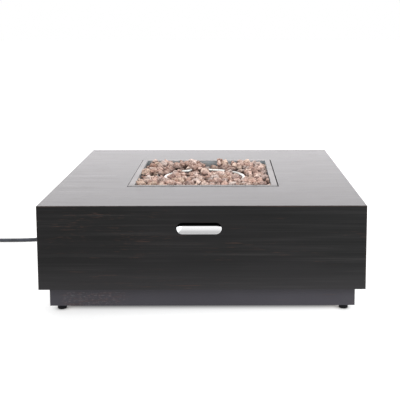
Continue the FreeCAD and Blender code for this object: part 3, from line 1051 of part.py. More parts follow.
    (4, 26.5, 27.59, 169.13, 7.27, -0.2479, -0.3650, 0.8825, 0.1625),
    (1, 40.4, 122.08, -23.04, 14.75, -0.4196, -0.1518, 0.8026, -0.3958),
    (9, 35.1, 79.00, 76.68, 11.66, -0.4708, 0.6623, 0.3097, 0.4938),
    (12, 36.5, 82.34, 154.92, 10.11, -0.0087, 0.7794, 0.5859, 0.2217),
    (3, 41.5, 177.38, -205.23, 16.55, 0.0745, -0.2695, 0.9236, -0.2621),
    (0, 35.0, 132.48, -124.43, 15.26, -0.0809, -0.1037, -0.9119, 0.3888),
    (0, 30.7, 166.29, 142.08, 8.83, -0.2796, 0.9103, -0.2248, -0.2066),
    (4, 36.3, 184.43, -98.26, 10.45, -0.0584, -0.8244, -0.0641, 0.5593),
    (12, 35.9, 194.56, -18.66, 14.47, -0.8265, 0.0871, -0.3152, -0.4582),
    (8, 39.9, 221.99, 28.49, 13.19, 0.7279, -0.5281, 0.4101, -0.1517),
    (1, 35.7, 210.78, 81.90, 12.28, 0.7152, -0.2897, -0.5774, -0.2668),
    (1, 46.1, 218.47, 153.84, 15.20, 0.7701, -0.4990, 0.3966, -0.0262),
    (0, 35.6, 169.00, 172.37, 10.94, 0.0900, 0.9654, -0.0063, 0.2445),
    (7, 37.2, -222.63, -62.25, 10.89, -0.4949, 0.8267, -0.1872, 0.1914),
    (4, 31.3, -160.18, 48.08, 11.10, 0.8158, 0.2774, 0.4478, -0.2390),
    (8, 32.4, -226.43, 149.03, 8.36, -0.5486, -0.2238, -0.4857, -0.6427),
    (1, 31.4, -224.91, 199.71, 13.30, -0.6335, -0.6190, -0.0320, 0.4631),
    (10, 34.0, -134.14, 165.81, 10.45, -0.4277, 0.2818, -0.8560, -0.0703),
    (13, 27.6, -126.94, 23.89, 6.06, -0.6234, 0.7722, -0.1214, 0.0179),
    (4, 40.9, -95.34, 154.95, 15.19, -0.2063, 0.1484, -0.9269, -0.2763),
    (5, 46.1, -72.44, -216.19, 16.07, -0.4287, 0.7141, 0.2517, 0.4929),
    (3, 30.0, -33.15, 95.86, 7.35, 0.2540, -0.0072, 0.2839, -0.9246),
    (4, 33.9, -41.21, 162.51, 11.38, -0.4706, -0.7721, 0.4250, 0.0433),
    (6, 27.9, -16.50, -219.01, 14.33, 0.3985, -0.2665, 0.6536, -0.5855),
    (9, 43.2, -11.94, 112.00, 14.32, 0.1368, 0.6112, -0.3174, 0.7120),
    (13, 38.2, 11.06, 204.34, 8.14, 0.2852, -0.4683, -0.6645, 0.5078),
    (0, 33.9, 29.09, -196.68, 15.83, 0.4577, -0.3041, -0.5976, -0.5839),
    (10, 25.7, 54.36, 119.17, 5.33, -0.2254, -0.9564, 0.1274, -0.1353),
    (2, 37.4, 140.98, -109.13, 13.60, 0.6232, 0.5491, -0.4882, 0.2681),
    (4, 27.3, 132.50, 22.63, 14.38, 0.0459, 0.5228, -0.1889, 0.8300),
    (0, 30.1, 121.61, 41.10, 10.55, -0.4250, -0.2591, 0.7871, -0.3643),
    (7, 36.3, 162.73, -108.12, 7.08, 0.2324, 0.6833, -0.6906, -0.0468),
    (8, 30.2, 165.34, -31.47, 7.79, 0.0562, 0.6518, 0.6456, 0.3940),
    (1, 35.0, 211.60, 130.32, 11.54, 0.6498, 0.1490, -0.6890, 0.2844),
    (11, 31.4, 217.67, 217.06, 10.80, 0.6007, 0.4962, 0.5052, -0.3713),
    (12, 31.3, -186.76, -215.66, 8.54, 0.6847, 0.3975, -0.2468, -0.5588),
    (8, 35.0, -208.96, 134.46, 12.51, -0.8202, -0.3480, 0.4440, -0.0953),
    (5, 44.8, -171.91, 171.43, 14.01, 0.0716, -0.0085, 0.9445, 0.3206),
    (8, 37.9, 210.80, -68.91, 16.62, -0.2373, -0.8590, -0.0858, 0.4455),
    (7, 35.9, 226.37, -4.36, 12.19, -0.7267, -0.0441, 0.4916, 0.4779),
    (12, 29.8, 160.76, 36.44, 13.27, 0.8760, 0.3183, -0.3476, -0.1021),
    (3, 27.0, 93.27, 11.01, 8.23, -0.9758, -0.1971, 0.0951, 0.0004),
    (8, 33.7, -227.34, -24.88, 12.84, -0.5760, 0.6259, 0.5117, 0.1208),
    (9, 34.1, 102.30, -171.47, 11.94, 0.4113, 0.3569, -0.6535, 0.5258),
    (4, 27.2, 0.33, 132.44, 8.28, -0.6262, 0.7756, -0.0780, 0.0128),
    (5, 26.4, 52.03, 162.50, 5.79, -0.0379, 0.7798, 0.5996, 0.1757),
    (5, 24.1, 230.01, 200.19, 7.24, 0.3437, 0.7450, -0.5715, 0.0169),
    (12, 26.0, 119.32, 135.52, 7.18, -0.1981, -0.1890, 0.9603, 0.0530),
    (12, 27.3, 226.55, -218.85, 14.05, 0.5545, 0.7901, 0.2610, -0.0141),
    (9, 29.8, -59.39, 121.17, 7.75, -0.1979, 0.3109, 0.7524, -0.5459),
    (0, 34.7, 42.22, 110.31, 14.44, 0.6995, 0.5574, 0.0988, 0.4361),
    (0, 51.1, -222.06, 10.93, 44.47, -0.1362, -0.6589, -0.7098, -0.2087),
    (5, 48.8, 5.05, -171.57, 31.21, 0.4189, -0.1428, 0.2743, -0.8537),
    (2, 49.0, -29.34, 22.87, 17.51, 0.2007, 0.4007, -0.5204, 0.7269),
    (12, 46.1, -211.39, -87.34, 18.59, 0.7277, -0.4357, -0.4178, -0.3257),
    (10, 43.3, -184.50, 43.64, 18.86, -0.8047, -0.2643, -0.4654, -0.2569),
    (10, 48.3, -219.96, 73.33, 21.76, -0.5017, -0.2137, -0.1533, -0.8241),
    (4, 49.4, -134.70, -186.21, 21.97, -0.2753, 0.3497, 0.4357, -0.7824),
    (5, 44.5, -152.44, 74.96, 17.36, -0.4918, 0.4351, -0.5857, -0.4751),
    (4, 28.6, -65.90, -151.61, 26.53, 0.1399, -0.3793, 0.8018, 0.4400),
    (10, 28.2, 25.38, -113.49, 31.12, 0.7714, 0.1603, -0.0921, 0.6089),
    (0, 35.1, 14.06, 42.78, 24.02, -0.3501, 0.6506, 0.6733, -0.0287),
    (13, 43.3, 20.17, 67.89, 20.68, 0.9623, 0.1629, 0.0502, 0.2118),
    (10, 25.9, 60.30, -118.56, 27.41, 0.2478, -0.1911, -0.8245, -0.4715),
    (8, 42.0, 30.31, 23.62, 28.29, -0.6120, 0.0610, -0.2518, -0.7472),
    (6, 36.0, 58.56, 216.10, 22.39, -0.3445, 0.3351, -0.2954, -0.8257),
    (9, 47.6, 116.82, -41.82, 31.35, 0.3767, -0.0573, -0.6373, 0.6698),
    (6, 35.8, 64.82, 20.30, 30.57, -0.6654, -0.0054, 0.7461, 0.0245),
    (8, 46.9, 137.17, -172.03, 26.73, 0.8553, -0.0518, -0.3524, 0.3762),
    (3, 44.0, 136.15, 120.23, 16.22, 0.6263, -0.2128, -0.4429, -0.6053),
    (6, 36.2, 222.91, -37.17, 31.05, 0.0643, 0.5521, -0.8237, 0.1125),
    (13, 35.4, -173.98, -61.32, 21.31, -0.3194, 0.8896, -0.2937, 0.1424),
    (12, 41.7, -196.69, -38.90, 26.59, -0.4886, -0.8339, -0.1306, -0.2211),
    (5, 28.2, -209.32, 41.37, 26.46, 0.2550, 0.1758, -0.4631, -0.8305),
    (9, 44.0, -158.06, -169.25, 19.20, 0.3247, 0.6550, 0.3701, -0.5732),
    (12, 42.8, -88.37, -188.74, 28.71, -0.7037, -0.3879, 0.0351, -0.5943),
    (6, 38.1, -44.28, -175.38, 21.18, -0.0850, 0.7184, -0.5969, -0.3470),
    (2, 35.7, -86.53, 30.44, 20.74, 0.5100, 0.3270, -0.0577, 0.7935),
    (7, 37.0, 6.82, -211.02, 18.00, 0.8345, 0.1048, -0.0223, 0.5405),
    (9, 44.7, -14.10, -63.81, 27.28, 0.6438, 0.4402, -0.3167, -0.5399),
    (13, 40.3, 85.21, -149.16, 18.09, -0.6462, 0.2903, -0.5255, 0.4712),
    (13, 44.7, 80.43, -89.37, 25.44, -0.0639, 0.1489, 0.8142, -0.5576),
    (12, 31.5, 138.81, -91.51, 25.94, -0.5468, -0.3461, -0.3593, 0.6724),
    (6, 27.5, 134.14, 96.74, 24.41, -0.7837, -0.5252, 0.3229, 0.0751),
    (7, 43.2, 204.12, -145.15, 26.95, 0.3560, 0.0108, -0.9152, -0.1886),
    (13, 35.9, -202.27, -177.35, 23.61, -0.5714, 0.3531, 0.5454, -0.5014),
    (6, 46.2, -179.34, 97.33, 29.45, 0.0140, 0.9927, -0.1094, 0.0489),
    (3, 47.2, -112.68, -211.14, 31.89, -0.8035, -0.5263, 0.0236, 0.2772),
    (6, 43.4, -178.04, -125.96, 27.30, -0.6755, -0.6365, -0.3034, -0.2156),
    (2, 32.3, -147.05, -85.51, 22.39, 0.4755, -0.5795, -0.6397, -0.1699),
    (9, 41.0, -144.72, 96.42, 25.64, -0.1780, -0.0686, 0.5365, -0.8221),
    (10, 45.8, -139.09, 139.89, 27.44, -0.0099, 0.9648, 0.1921, -0.1795),
    (10, 32.0, -87.26, -156.62, 22.68, 0.9183, -0.1355, 0.1084, 0.3559),
    (7, 40.8, -94.97, -88.80, 23.72, 0.2968, 0.2162, 0.3157, 0.8749),
    (11, 34.8, -118.35, -53.09, 29.05, -0.6125, -0.6817, 0.2139, -0.3383),
    (7, 36.5, -59.57, -67.94, 22.33, -0.9616, 0.2548, -0.0544, 0.0858),
    (13, 39.2, -23.87, -167.16, 21.76, -0.3208, -0.7369, -0.0717, 0.5908),
    (12, 29.7, -58.46, -87.53, 23.75, -0.0560, -0.3141, -0.6052, 0.7293),
    (11, 43.8, 27.61, -52.21, 21.02, -0.3403, -0.2336, 0.8680, 0.2759),
    (9, 47.5, -48.78, 66.04, 21.02, -0.7220, 0.4247, 0.4483, -0.3120),
    (9, 31.1, -14.63, -129.41, 19.99, -0.8725, 0.0806, -0.1717, 0.4502),
    (11, 33.9, 35.62, -25.49, 22.80, -0.7682, -0.2774, -0.0845, 0.5708),
    (6, 41.7, 24.00, -92.71, 20.49, 0.2206, 0.6530, -0.5898, -0.4208),
    (3, 44.8, 49.70, -73.33, 26.24, 0.2068, 0.5324, -0.6931, -0.4397),
    (10, 39.9, 55.79, 54.72, 25.79, -0.9508, -0.0975, -0.0073, -0.2939),
    (3, 43.7, 93.61, 206.95, 19.98, -0.5100, -0.4157, -0.2880, 0.6958),
    (3, 44.8, 53.13, -180.05, 25.45, -0.8988, -0.3505, -0.1886, -0.1838),
    (12, 29.0, 53.39, -157.74, 25.96, 0.5250, 0.7938, 0.1696, -0.2559),
    (10, 43.9, 78.13, -47.38, 25.79, 0.6619, 0.3136, -0.6210, -0.2792),
    (0, 30.6, 162.86, 116.29, 17.63, 0.2950, -0.0154, 0.9091, 0.2939),
    (9, 40.6, 223.42, -162.88, 16.77, 0.5331, -0.3879, 0.4597, 0.5950),
    (8, 45.3, 217.15, 57.90, 18.85, 0.8955, 0.1762, 0.3759, -0.1602),
    (7, 29.7, -203.59, -148.13, 23.63, 0.1247, -0.5179, 0.8383, -0.1160),
    (10, 38.7, -201.22, -110.17, 33.76, 0.9194, -0.2021, 0.1354, -0.3091),
    (12, 42.7, -178.59, -84.45, 30.41, -0.0047, 0.0819, -0.5174, 0.8518),
    (5, 38.7, -195.99, 66.76, 23.48, -0.8204, 0.0641, -0.3199, -0.4695),
    (10, 34.2, -178.87, 205.56, 22.21, -0.8149, 0.5043, -0.1099, 0.2637),
    (4, 38.9, -134.90, -143.55, 39.57, -0.4056, 0.6454, 0.6136, 0.2061),
    (9, 40.6, -149.77, -125.95, 27.22, -0.7508, -0.1587, -0.2961, -0.5688),
    (10, 38.0, -124.01, -122.24, 28.01, -0.1755, 0.5158, -0.8385, -0.0040),
    (10, 33.2, -129.83, 195.34, 20.78, -0.7851, 0.0068, -0.3030, -0.5402),
    (2, 35.2, 191.85, 213.96, 24.98, 0.2658, -0.1947, -0.9248, -0.1901),
    (7, 47.5, 101.36, 152.80, 22.84, 0.2047, 0.9504, 0.2224, -0.0732),
    (10, 36.7, -31.66, 184.05, 20.27, -0.0358, -0.5889, 0.6238, 0.5127),
    (9, 35.0, 117.08, 203.95, 30.30, -0.1320, 0.5790, -0.7594, 0.2656),
    (4, 29.4, -215.90, 183.03, 23.78, -0.5590, -0.4884, 0.0905, 0.6639),
    (12, 47.2, 204.72, 171.44, 32.69, 0.2271, 0.4150, 0.0651, -0.8786),
    (0, 42.2, -109.34, 175.13, 29.77, 0.9386, 0.3039, 0.0655, -0.1495),
    (7, 45.8, 74.78, 203.81, 39.74, -0.2231, -0.6063, 0.7328, 0.2136),
    (8, 37.8, 155.76, 176.91, 22.70, 0.6509, -0.0610, -0.2519, -0.7136),
    (8, 44.6, -60.45, 183.14, 31.35, 0.5082, -0.3621, 0.7756, -0.0946),
    (1, 31.4, -169.54, 46.60, 31.03, -0.3923, -0.3098, 0.0276, -0.8656),
    (9, 29.2, -160.82, -146.36, 28.00, 0.5135, 0.3217, 0.0431, 0.7943),
    (1, 39.3, -178.91, 140.53, 36.01, 0.6272, 0.5937, -0.0565, -0.5010),
    (8, 47.0, -216.70, -197.42, 37.18, 0.0523, -0.6131, 0.7432, 0.2625),
    (12, 43.4, -184.09, -157.21, 36.60, -0.6639, 0.1016, -0.3713, -0.6412),
    (3, 34.6, -216.24, -59.44, 30.72, 0.8385, 0.2587, -0.0915, -0.4708),
    (6, 26.3, -190.76, -64.69, 28.03, -0.2441, 0.7074, -0.5468, 0.3756),
    (5, 37.8, -220.72, -137.69, 25.70, -0.4240, -0.8354, 0.1521, -0.3149),
    (4, 26.9, -203.46, -75.46, 39.70, 0.9985, -0.0108, -0.0241, -0.0490),
    (5, 46.0, -178.78, -191.01, 36.58, -0.3655, 0.2410, -0.1849, -0.8798),
    (13, 24.2, -169.85, 16.28, 39.05, -0.6120, 0.1273, 0.1119, -0.7725),
    (3, 31.5, 222.67, 119.49, 29.82, -0.7748, -0.0358, -0.3153, 0.5468),
    (8, 29.0, 215.99, -129.10, 24.43, 0.4854, -0.7196, -0.3509, -0.3513),
    (7, 38.6, 225.99, -189.96, 25.01, 0.8068, 0.0415, -0.4815, 0.3399),
    (4, 37.6, 161.10, 57.18, 28.33, -0.2504, -0.2615, 0.9296, -0.0685),
    (8, 24.9, 197.08, 49.51, 30.95, 0.2552, -0.5272, 0.2501, -0.7709),
    (4, 45.5, 175.33, -121.00, 35.62, -0.5408, 0.2291, -0.1075, -0.8022),
    (3, 40.0, 168.79, 15.34, 28.06, -0.5098, -0.1369, 0.8304, -0.1782),
    (3, 41.9, 189.72, -84.22, 32.50, -0.1782, 0.0365, 0.4222, 0.8881),
    (1, 24.2, 205.18, 38.08, 21.55, -0.2334, 0.5476, -0.4187, 0.6858),
    (7, 40.5, 167.44, 137.00, 28.15, -0.3361, 0.0339, -0.6278, 0.7012),
    (11, 32.5, -110.36, -184.32, 34.30, 0.5595, 0.5001, -0.3222, -0.5772),
    (5, 32.0, 111.46, -149.52, 31.48, -0.9130, 0.1656, -0.1751, 0.3291),
    (4, 41.1, 130.11, -197.15, 32.85, -0.2299, 0.5993, -0.6293, 0.4381),
    (13, 39.7, -2.50, -110.16, 29.76, -0.2574, -0.1396, 0.9561, -0.0145),
    (5, 33.8, 56.43, -130.35, 36.38, -0.1600, 0.2549, -0.0268, -0.9533),
    (13, 38.4, -52.17, -206.74, 30.27, 0.4091, 0.0117, -0.1918, -0.8920),
    (2, 27.1, -85.99, -140.94, 30.77, -0.9095, -0.0640, -0.0071, 0.4106),
    (1, 35.9, 78.82, -163.53, 28.66, 0.3952, 0.3758, 0.5326, -0.6472),
    (2, 25.4, -134.21, -123.15, 40.02, 0.3566, 0.7473, -0.4494, 0.3354),
    (4, 29.2, -25.73, -213.79, 27.69, -0.2533, -0.1390, -0.1618, 0.9436),
    (7, 45.7, 150.18, -125.87, 33.37, 0.3946, -0.0951, -0.4301, -0.8064),
    (8, 35.4, 29.52, -181.14, 32.41, 0.6993, -0.5150, -0.2192, 0.4446),
    (5, 41.5, -51.69, -41.37, 27.36, 0.3893, 0.8359, 0.3486, 0.1682),
    (5, 36.1, -77.87, 17.83, 31.30, -0.1303, -0.8212, -0.5207, 0.1937),
    (2, 41.6, -76.04, -107.01, 35.30, 0.2204, 0.0587, 0.8795, -0.4176),
    (7, 28.8, 36.42, -0.23, 37.62, 0.6072, -0.0889, -0.1267, 0.7793),
    (9, 36.5, 93.36, -21.22, 23.22, -0.5435, -0.6709, -0.0946, 0.4955),
    (8, 34.2, -79.65, -48.16, 28.05, 0.0997, 0.9807, -0.0411, 0.1629),
    (3, 26.2, -4.02, 56.80, 29.63, 0.2233, -0.8305, 0.5052, 0.0724),
    (9, 44.7, 217.70, 97.19, 34.64, 0.9708, -0.1253, 0.2012, 0.0372),
    (6, 30.9, -210.28, 202.94, 30.21, -0.6102, -0.3065, 0.7079, -0.1805),
    (10, 47.7, -24.54, 164.09, 33.18, 0.4674, 0.8593, 0.1489, 0.1450),
    (4, 31.4, 53.99, 215.66, 47.41, 0.6694, 0.5083, -0.3955, -0.3704),
    (5, 44.7, 162.19, 201.63, 27.74, 0.3636, 0.9138, -0.1753, -0.0447),
    (3, 30.4, -143.91, 186.63, 32.13, 0.7166, 0.2310, -0.1452, -0.6419),
    (2, 29.7, 210.34, 209.91, 29.89, 0.0451, -0.4602, 0.3517, -0.8139),
    (1, 36.5, -195.81, 190.44, 35.02, -0.6243, -0.5167, -0.0262, -0.5854),
    (10, 29.5, -87.03, 186.44, 28.98, -0.3343, -0.5833, 0.5864, 0.4519),
    (7, 29.7, 107.03, 217.35, 34.11, 0.1800, 0.7072, 0.2039, 0.6526),
    (11, 31.5, -94.18, 212.53, 22.67, -0.2564, -0.7507, 0.4355, 0.4255),
    (9, 38.7, 127.69, 170.29, 27.56, -0.4516, -0.2301, -0.7662, -0.3949),
    (0, 34.9, 74.26, 168.97, 30.09, 0.3815, -0.3832, -0.8401, -0.0436),
    (2, 41.6, 134.53, 211.26, 41.95, 0.3408, -0.7293, -0.5791, 0.1293),
    (5, 32.1, -200.92, 85.83, 32.63, -0.5109, 0.2399, -0.0648, -0.8229),
    (13, 28.1, -224.10, -177.01, 26.76, -0.0673, -0.0238, 0.8933, 0.4439),
    (4, 24.7, -194.23, 46.51, 37.40, -0.5326, 0.8141, 0.2144, 0.0878),
    (8, 33.1, -205.46, 118.31, 28.88, 0.4023, -0.1583, -0.7581, -0.4882),
    (5, 35.2, -226.18, 164.47, 25.14, 0.0498, 0.7769, -0.2382, -0.5806),
    (1, 36.0, 196.01, -23.57, 35.31, 0.9308, -0.3614, 0.0509, 0.0204),
    (0, 27.6, 175.44, -175.34, 22.38, 0.7232, 0.3047, -0.5997, -0.1569),
    (5, 32.5, 203.14, -123.23, 35.84, -0.8134, -0.4969, -0.0270, -0.3013),
    (7, 34.5, 192.23, 129.11, 21.66, -0.4069, -0.8001, 0.0892, -0.4317),
    (5, 42.8, 169.30, 85.07, 30.44, -0.7468, 0.1847, -0.1174, -0.6280),
    (10, 34.7, 221.81, -60.14, 34.46, 0.4948, -0.8664, 0.0211, -0.0634),
    (3, 29.6, 225.50, 148.79, 38.54, -0.2670, -0.1875, 0.9350, 0.1389),
    (11, 28.1, 226.87, 11.80, 24.05, -0.2459, 0.6597, -0.3945, 0.5905),
    (2, 33.1, 172.81, -11.40, 22.41, -0.7706, -0.2616, -0.4398, -0.3798),
    (8, 31.7, 205.75, -202.16, 27.64, -0.2138, 0.4016, -0.8792, 0.1417),
    (2, 41.0, -23.85, -131.94, 39.60, 0.2351, 0.1047, -0.1491, 0.9547),
    (2, 26.4, -116.77, -143.72, 33.76, 0.6266, 0.0184, 0.4219, -0.6550),
    (3, 27.0, 75.38, -146.58, 37.13, -0.3636, -0.3353, -0.8691, 0.0087),
    (11, 42.2, 97.08, -213.52, 29.86, 0.7296, -0.2642, -0.0336, 0.6299),
    (1, 25.0, -103.75, -110.19, 37.96, 0.1695, 0.5817, 0.7072, -0.3644),
    (8, 31.5, -28.14, -192.50, 31.18, 0.2533, -0.8091, -0.5019, 0.1709),
    (0, 40.5, 151.10, -213.76, 33.16, 0.4625, 0.0056, -0.7896, -0.4033),
    (4, 29.9, -55.86, -165.00, 36.92, -0.1939, 0.4800, 0.6014, 0.6086),
    (9, 37.4, 6.78, -214.82, 36.68, -0.7147, 0.5108, -0.3702, 0.3019),
    (7, 39.0, -56.83, -118.40, 36.56, 0.1563, 0.6257, -0.2478, -0.7230),
    (8, 25.1, -157.91, -125.56, 42.51, 0.3543, 0.7243, 0.4254, 0.4109),
    (2, 36.0, -38.37, -110.17, 31.24, -0.8899, 0.2101, 0.0364, 0.4032),
    (2, 24.4, 199.87, -99.07, 35.56, 0.2799, -0.9537, -0.0547, -0.0954),
    (0, 36.1, -128.70, -20.95, 26.54, -0.3856, -0.3554, 0.7620, 0.3801),
    (10, 27.8, 102.56, -73.55, 25.70, 0.4391, 0.0713, 0.3842, -0.8090),
    (13, 43.3, 100.29, 26.70, 22.31, 0.4603, -0.3935, -0.4546, -0.6531),
    (9, 35.0, 119.27, -118.27, 34.46, 0.6008, 0.5038, 0.5698, -0.2462),
    (10, 26.2, -56.64, 157.08, 22.02, -0.5214, -0.5764, -0.6095, -0.1563),
    (0, 36.8, 26.94, 190.69, 23.07, 0.5772, 0.5665, 0.2453, 0.5346),
    (0, 29.3, -70.68, 151.66, 25.76, 0.7736, 0.2507, -0.5318, -0.2364),
    (5, 35.2, -66.91, 217.40, 25.46, 0.3246, -0.4496, -0.7258, -0.4071),
    (0, 33.6, -28.77, 218.20, 24.82, 0.8159, 0.1298, -0.5005, 0.2588),
    (7, 33.7, -168.75, 218.98, 27.21, -0.2980, -0.1333, 0.8434, -0.4268),
    (8, 29.2, 95.94, 170.94, 29.58, -0.4214, 0.8866, -0.1725, -0.0810),
    (13, 37.1, 163.68, 216.90, 41.64, -0.6699, 0.7043, -0.0665, -0.2253),
    (6, 35.8, -139.06, 164.43, 41.35, -0.4022, -0.8553, 0.2256, 0.2363),
    (12, 36.3, 174.68, 162.30, 40.36, -0.2780, -0.5973, -0.7387, -0.1426),
    (4, 26.6, -190.03, 218.63, 31.97, 0.3103, -0.5905, 0.6553, -0.3544),
    (8, 37.6, -209.75, 165.91, 35.65, 0.2361, 0.9590, -0.0075, -0.1567),
    (3, 36.9, 35.24, 166.56, 26.34, 0.8006, -0.4909, 0.3384, 0.0602),
    (7, 30.0, -213.14, -158.85, 33.52, 0.4499, 0.2130, 0.1898, -0.8463),
    (3, 26.3, -228.44, -102.21, 24.66, 0.4905, -0.3162, 0.7458, -0.3213),
    (2, 30.4, -177.84, -36.76, 27.07, 0.6591, -0.1645, -0.7333, -0.0295),
    (9, 30.9, -225.14, 99.49, 26.52, -0.9682, -0.2328, -0.0502, -0.0770),
    (3, 24.6, -205.44, 28.55, 40.95, -0.1250, 0.8932, -0.4235, 0.0849),
    (4, 25.2, -176.98, 67.02, 34.49, -0.1400, 0.2875, 0.2212, 0.9213),
    (11, 31.2, -224.92, -38.13, 29.68, 0.2986, 0.6190, -0.4667, 0.5566),
    (6, 35.9, 180.34, -214.09, 37.91, -0.4930, -0.0888, -0.6265, 0.5971),
    (13, 34.5, 227.76, -117.51, 32.36, -0.6401, -0.4325, 0.5587, -0.3017),
    (0, 24.1, 214.21, 8.05, 34.03, -0.7520, 0.5795, -0.3138, -0.0116),
    (13, 31.5, 218.10, 44.73, 31.40, 0.5068, 0.4825, 0.3678, 0.6125),
    (11, 34.0, 161.68, -168.84, 32.72, 0.3561, -0.6895, 0.1286, -0.6174),
    (7, 30.4, 188.67, -185.31, 26.45, 0.6749, -0.5380, -0.4307, -0.2639),
    (8, 32.0, 187.62, 1.60, 30.70, 0.6310, 0.2402, -0.6687, -0.3113),
    (11, 29.9, 190.07, 26.22, 30.30, -0.6421, -0.3284, 0.4903, 0.4893),
    (8, 25.1, 77.55, -182.29, 29.33, 0.3996, -0.0525, -0.0601, -0.9132),
    (7, 24.6, -87.75, -213.93, 27.28, 0.4341, -0.7109, -0.5422, 0.1102),
    (8, 36.3, 153.17, -188.30, 34.81, -0.0574, 0.9460, -0.1393, -0.2871),
    (11, 27.8, -40.60, -152.37, 38.03, 0.4328, -0.5801, -0.4280, -0.5412),
    (4, 34.2, 29.92, -133.83, 35.20, 0.1491, 0.3072, 0.9359, -0.0862),
    (3, 32.6, 30.46, -212.72, 33.46, 0.6696, 0.4920, 0.2950, -0.4717),
    (2, 32.0, -109.21, -158.89, 39.40, -0.1135, 0.8607, 0.4656, -0.1721),
    (8, 46.5, 103.09, -185.86, 33.83, 0.5194, -0.6594, 0.3305, -0.4315),
    (7, 27.2, 1.43, 26.56, 32.38, -0.0833, -0.3948, -0.8664, 0.2942),
    (7, 27.9, 119.40, 25.78, 24.61, 0.6791, 0.1486, -0.2346, -0.6795),
    (0, 30.5, -96.68, -18.87, 32.34, 0.5003, -0.1821, -0.4002, 0.7459),
    (9, 29.2, 15.77, -37.18, 31.32, 0.0547, -0.9346, -0.3060, 0.1732),
    (3, 27.3, 71.21, -12.35, 30.85, -0.2805, 0.3868, 0.6000, 0.6417),
    (7, 30.2, 91.62, -62.80, 32.14, -0.1991, -0.5127, 0.7157, 0.4305),
    (2, 25.8, 103.59, -13.91, 30.68, -0.2101, -0.3649, -0.2827, -0.8618),
    (11, 26.1, -8.51, 35.53, 19.82, 0.1484, -0.7165, -0.3329, 0.5948),
    (7, 38.3, -0.64, 125.15, 24.93, -0.2331, 0.3449, 0.9013, 0.1200),
    (13, 27.9, 203.02, 144.01, 25.32, 0.1600, 0.3838, 0.9023, -0.1134),
    (2, 26.0, -82.31, 205.31, 32.14, 0.6999, 0.6627, 0.2630, -0.0429),
    (1, 27.7, 190.46, 197.02, 30.54, -0.5782, 0.2126, -0.2052, 0.7605),
    (4, 24.4, 191.09, 168.43, 48.09, 0.6876, -0.5645, 0.2496, -0.3823),
    (7, 41.8, -144.35, 213.34, 33.05, -0.1684, -0.7053, -0.1555, -0.6709),
    (9, 32.3, -13.79, 199.13, 32.80, -0.3564, -0.7103, -0.5995, -0.0951),
    (1, 25.9, -107.41, 204.21, 32.53, -0.4631, -0.2605, 0.6871, 0.4956),
    (0, 28.1, 51.48, 196.42, 42.24, 0.6897, -0.0195, -0.6295, 0.3573),
    (9, 33.1, -203.96, 208.15, 47.24, -0.5048, 0.4395, -0.1669, 0.7239),
    (8, 46.6, -53.07, 207.62, 40.18, -0.0036, -0.1705, -0.3071, -0.9363),
    (6, 41.8, -166.36, 167.97, 41.28, 0.8364, -0.1307, 0.4378, 0.3027),
    (0, 26.4, -212.01, 54.87, 35.89, -0.3191, 0.4529, -0.3782, 0.7416),
    (5, 25.1, -191.00, -134.87, 42.04, -0.7066, 0.2012, 0.3601, -0.5750),
    (10, 24.2, -183.65, -215.40, 26.26, 0.7378, 0.3269, 0.1910, -0.5588),
    (13, 36.7, -227.09, -116.08, 33.51, 0.1269, -0.4930, -0.6676, -0.5433),
    (13, 45.3, 189.62, 73.15, 34.43, -0.7946, -0.4794, -0.3662, -0.0688),
    (13, 42.1, 197.76, -50.90, 37.84, -0.0527, -0.3222, 0.6835, 0.6529),
    (0, 31.1, 213.96, -9.57, 28.13, -0.6563, 0.0701, 0.6917, -0.2931),
    (11, 26.9, 171.19, 37.51, 32.99, -0.2965, 0.2557, -0.2745, 0.8783),
    (5, 39.7, 173.38, -150.84, 38.33, -0.7911, -0.2886, -0.1130, 0.5273),
    (13, 45.5, 173.34, -42.81, 24.95, 0.9280, -0.2538, 0.0174, 0.2722),
    (4, 28.6, 200.15, 117.76, 36.67, -0.8786, -0.2400, 0.0743, -0.4061),
    (5, 26.1, -43.55, -219.90, 27.23, 0.1424, 0.0822, -0.8257, -0.5396),
    (8, 37.4, -153.73, -96.42, 38.59, -0.0029, 0.9818, -0.1896, 0.0120),
    (7, 24.9, -98.84, -126.24, 37.33, -0.7679, -0.2769, -0.2238, 0.5325),
    (3, 24.5, -144.65, -163.28, 36.49, 0.1884, -0.6407, -0.1046, -0.7369),
    (6, 25.7, 123.55, -137.80, 38.30, -0.1820, -0.5561, 0.0861, -0.8064),
    (13, 26.2, -21.25, -154.41, 38.54, 0.4554, 0.2708, -0.0530, 0.8464),
    (11, 25.8, -90.11, -161.44, 35.99, -0.8691, 0.1865, -0.2377, 0.3916),
    (2, 27.5, 23.73, -67.01, 34.58, -0.4447, -0.4654, -0.0243, 0.7648),
    (7, 25.7, -21.58, -16.89, 27.64, -0.6002, -0.0442, -0.7970, 0.0523),
    (4, 24.7, 73.07, -70.85, 32.51, 0.4657, -0.1470, -0.5573, 0.6715),
    (7, 32.6, 92.75, -105.55, 39.74, 0.7460, -0.3987, 0.2163, -0.4876),
    (4, 37.1, -118.68, 218.12, 28.04, -0.3175, -0.1748, -0.7632, 0.5350),
    (8, 37.6, 136.69, 187.63, 39.65, -0.1680, -0.0603, -0.8613, 0.4758),
    (0, 26.2, -29.32, 204.13, 41.75, 0.6619, 0.5019, -0.4556, -0.3199),
    (4, 25.6, 87.90, 185.75, 25.29, 0.8144, 0.0350, 0.5134, 0.2684),
    (7, 34.7, -78.31, 180.38, 44.35, -0.7005, 0.5413, 0.1466, -0.4414),
    (10, 32.3, -162.46, 205.62, 40.55, 0.4319, -0.6954, -0.3340, -0.4673),
    (5, 24.6, -40.76, 184.12, 36.39, 0.2102, 0.9127, 0.2464, -0.2491),
    (9, 32.4, -95.46, 173.81, 45.70, 0.6129, 0.2292, -0.2287, 0.7208),
    (7, 24.6, -211.09, -19.00, 39.67, -0.8258, -0.3734, -0.3027, -0.2949),
    (1, 25.2, -192.73, 64.73, 42.92, -0.6937, -0.1105, 0.5931, 0.3933),
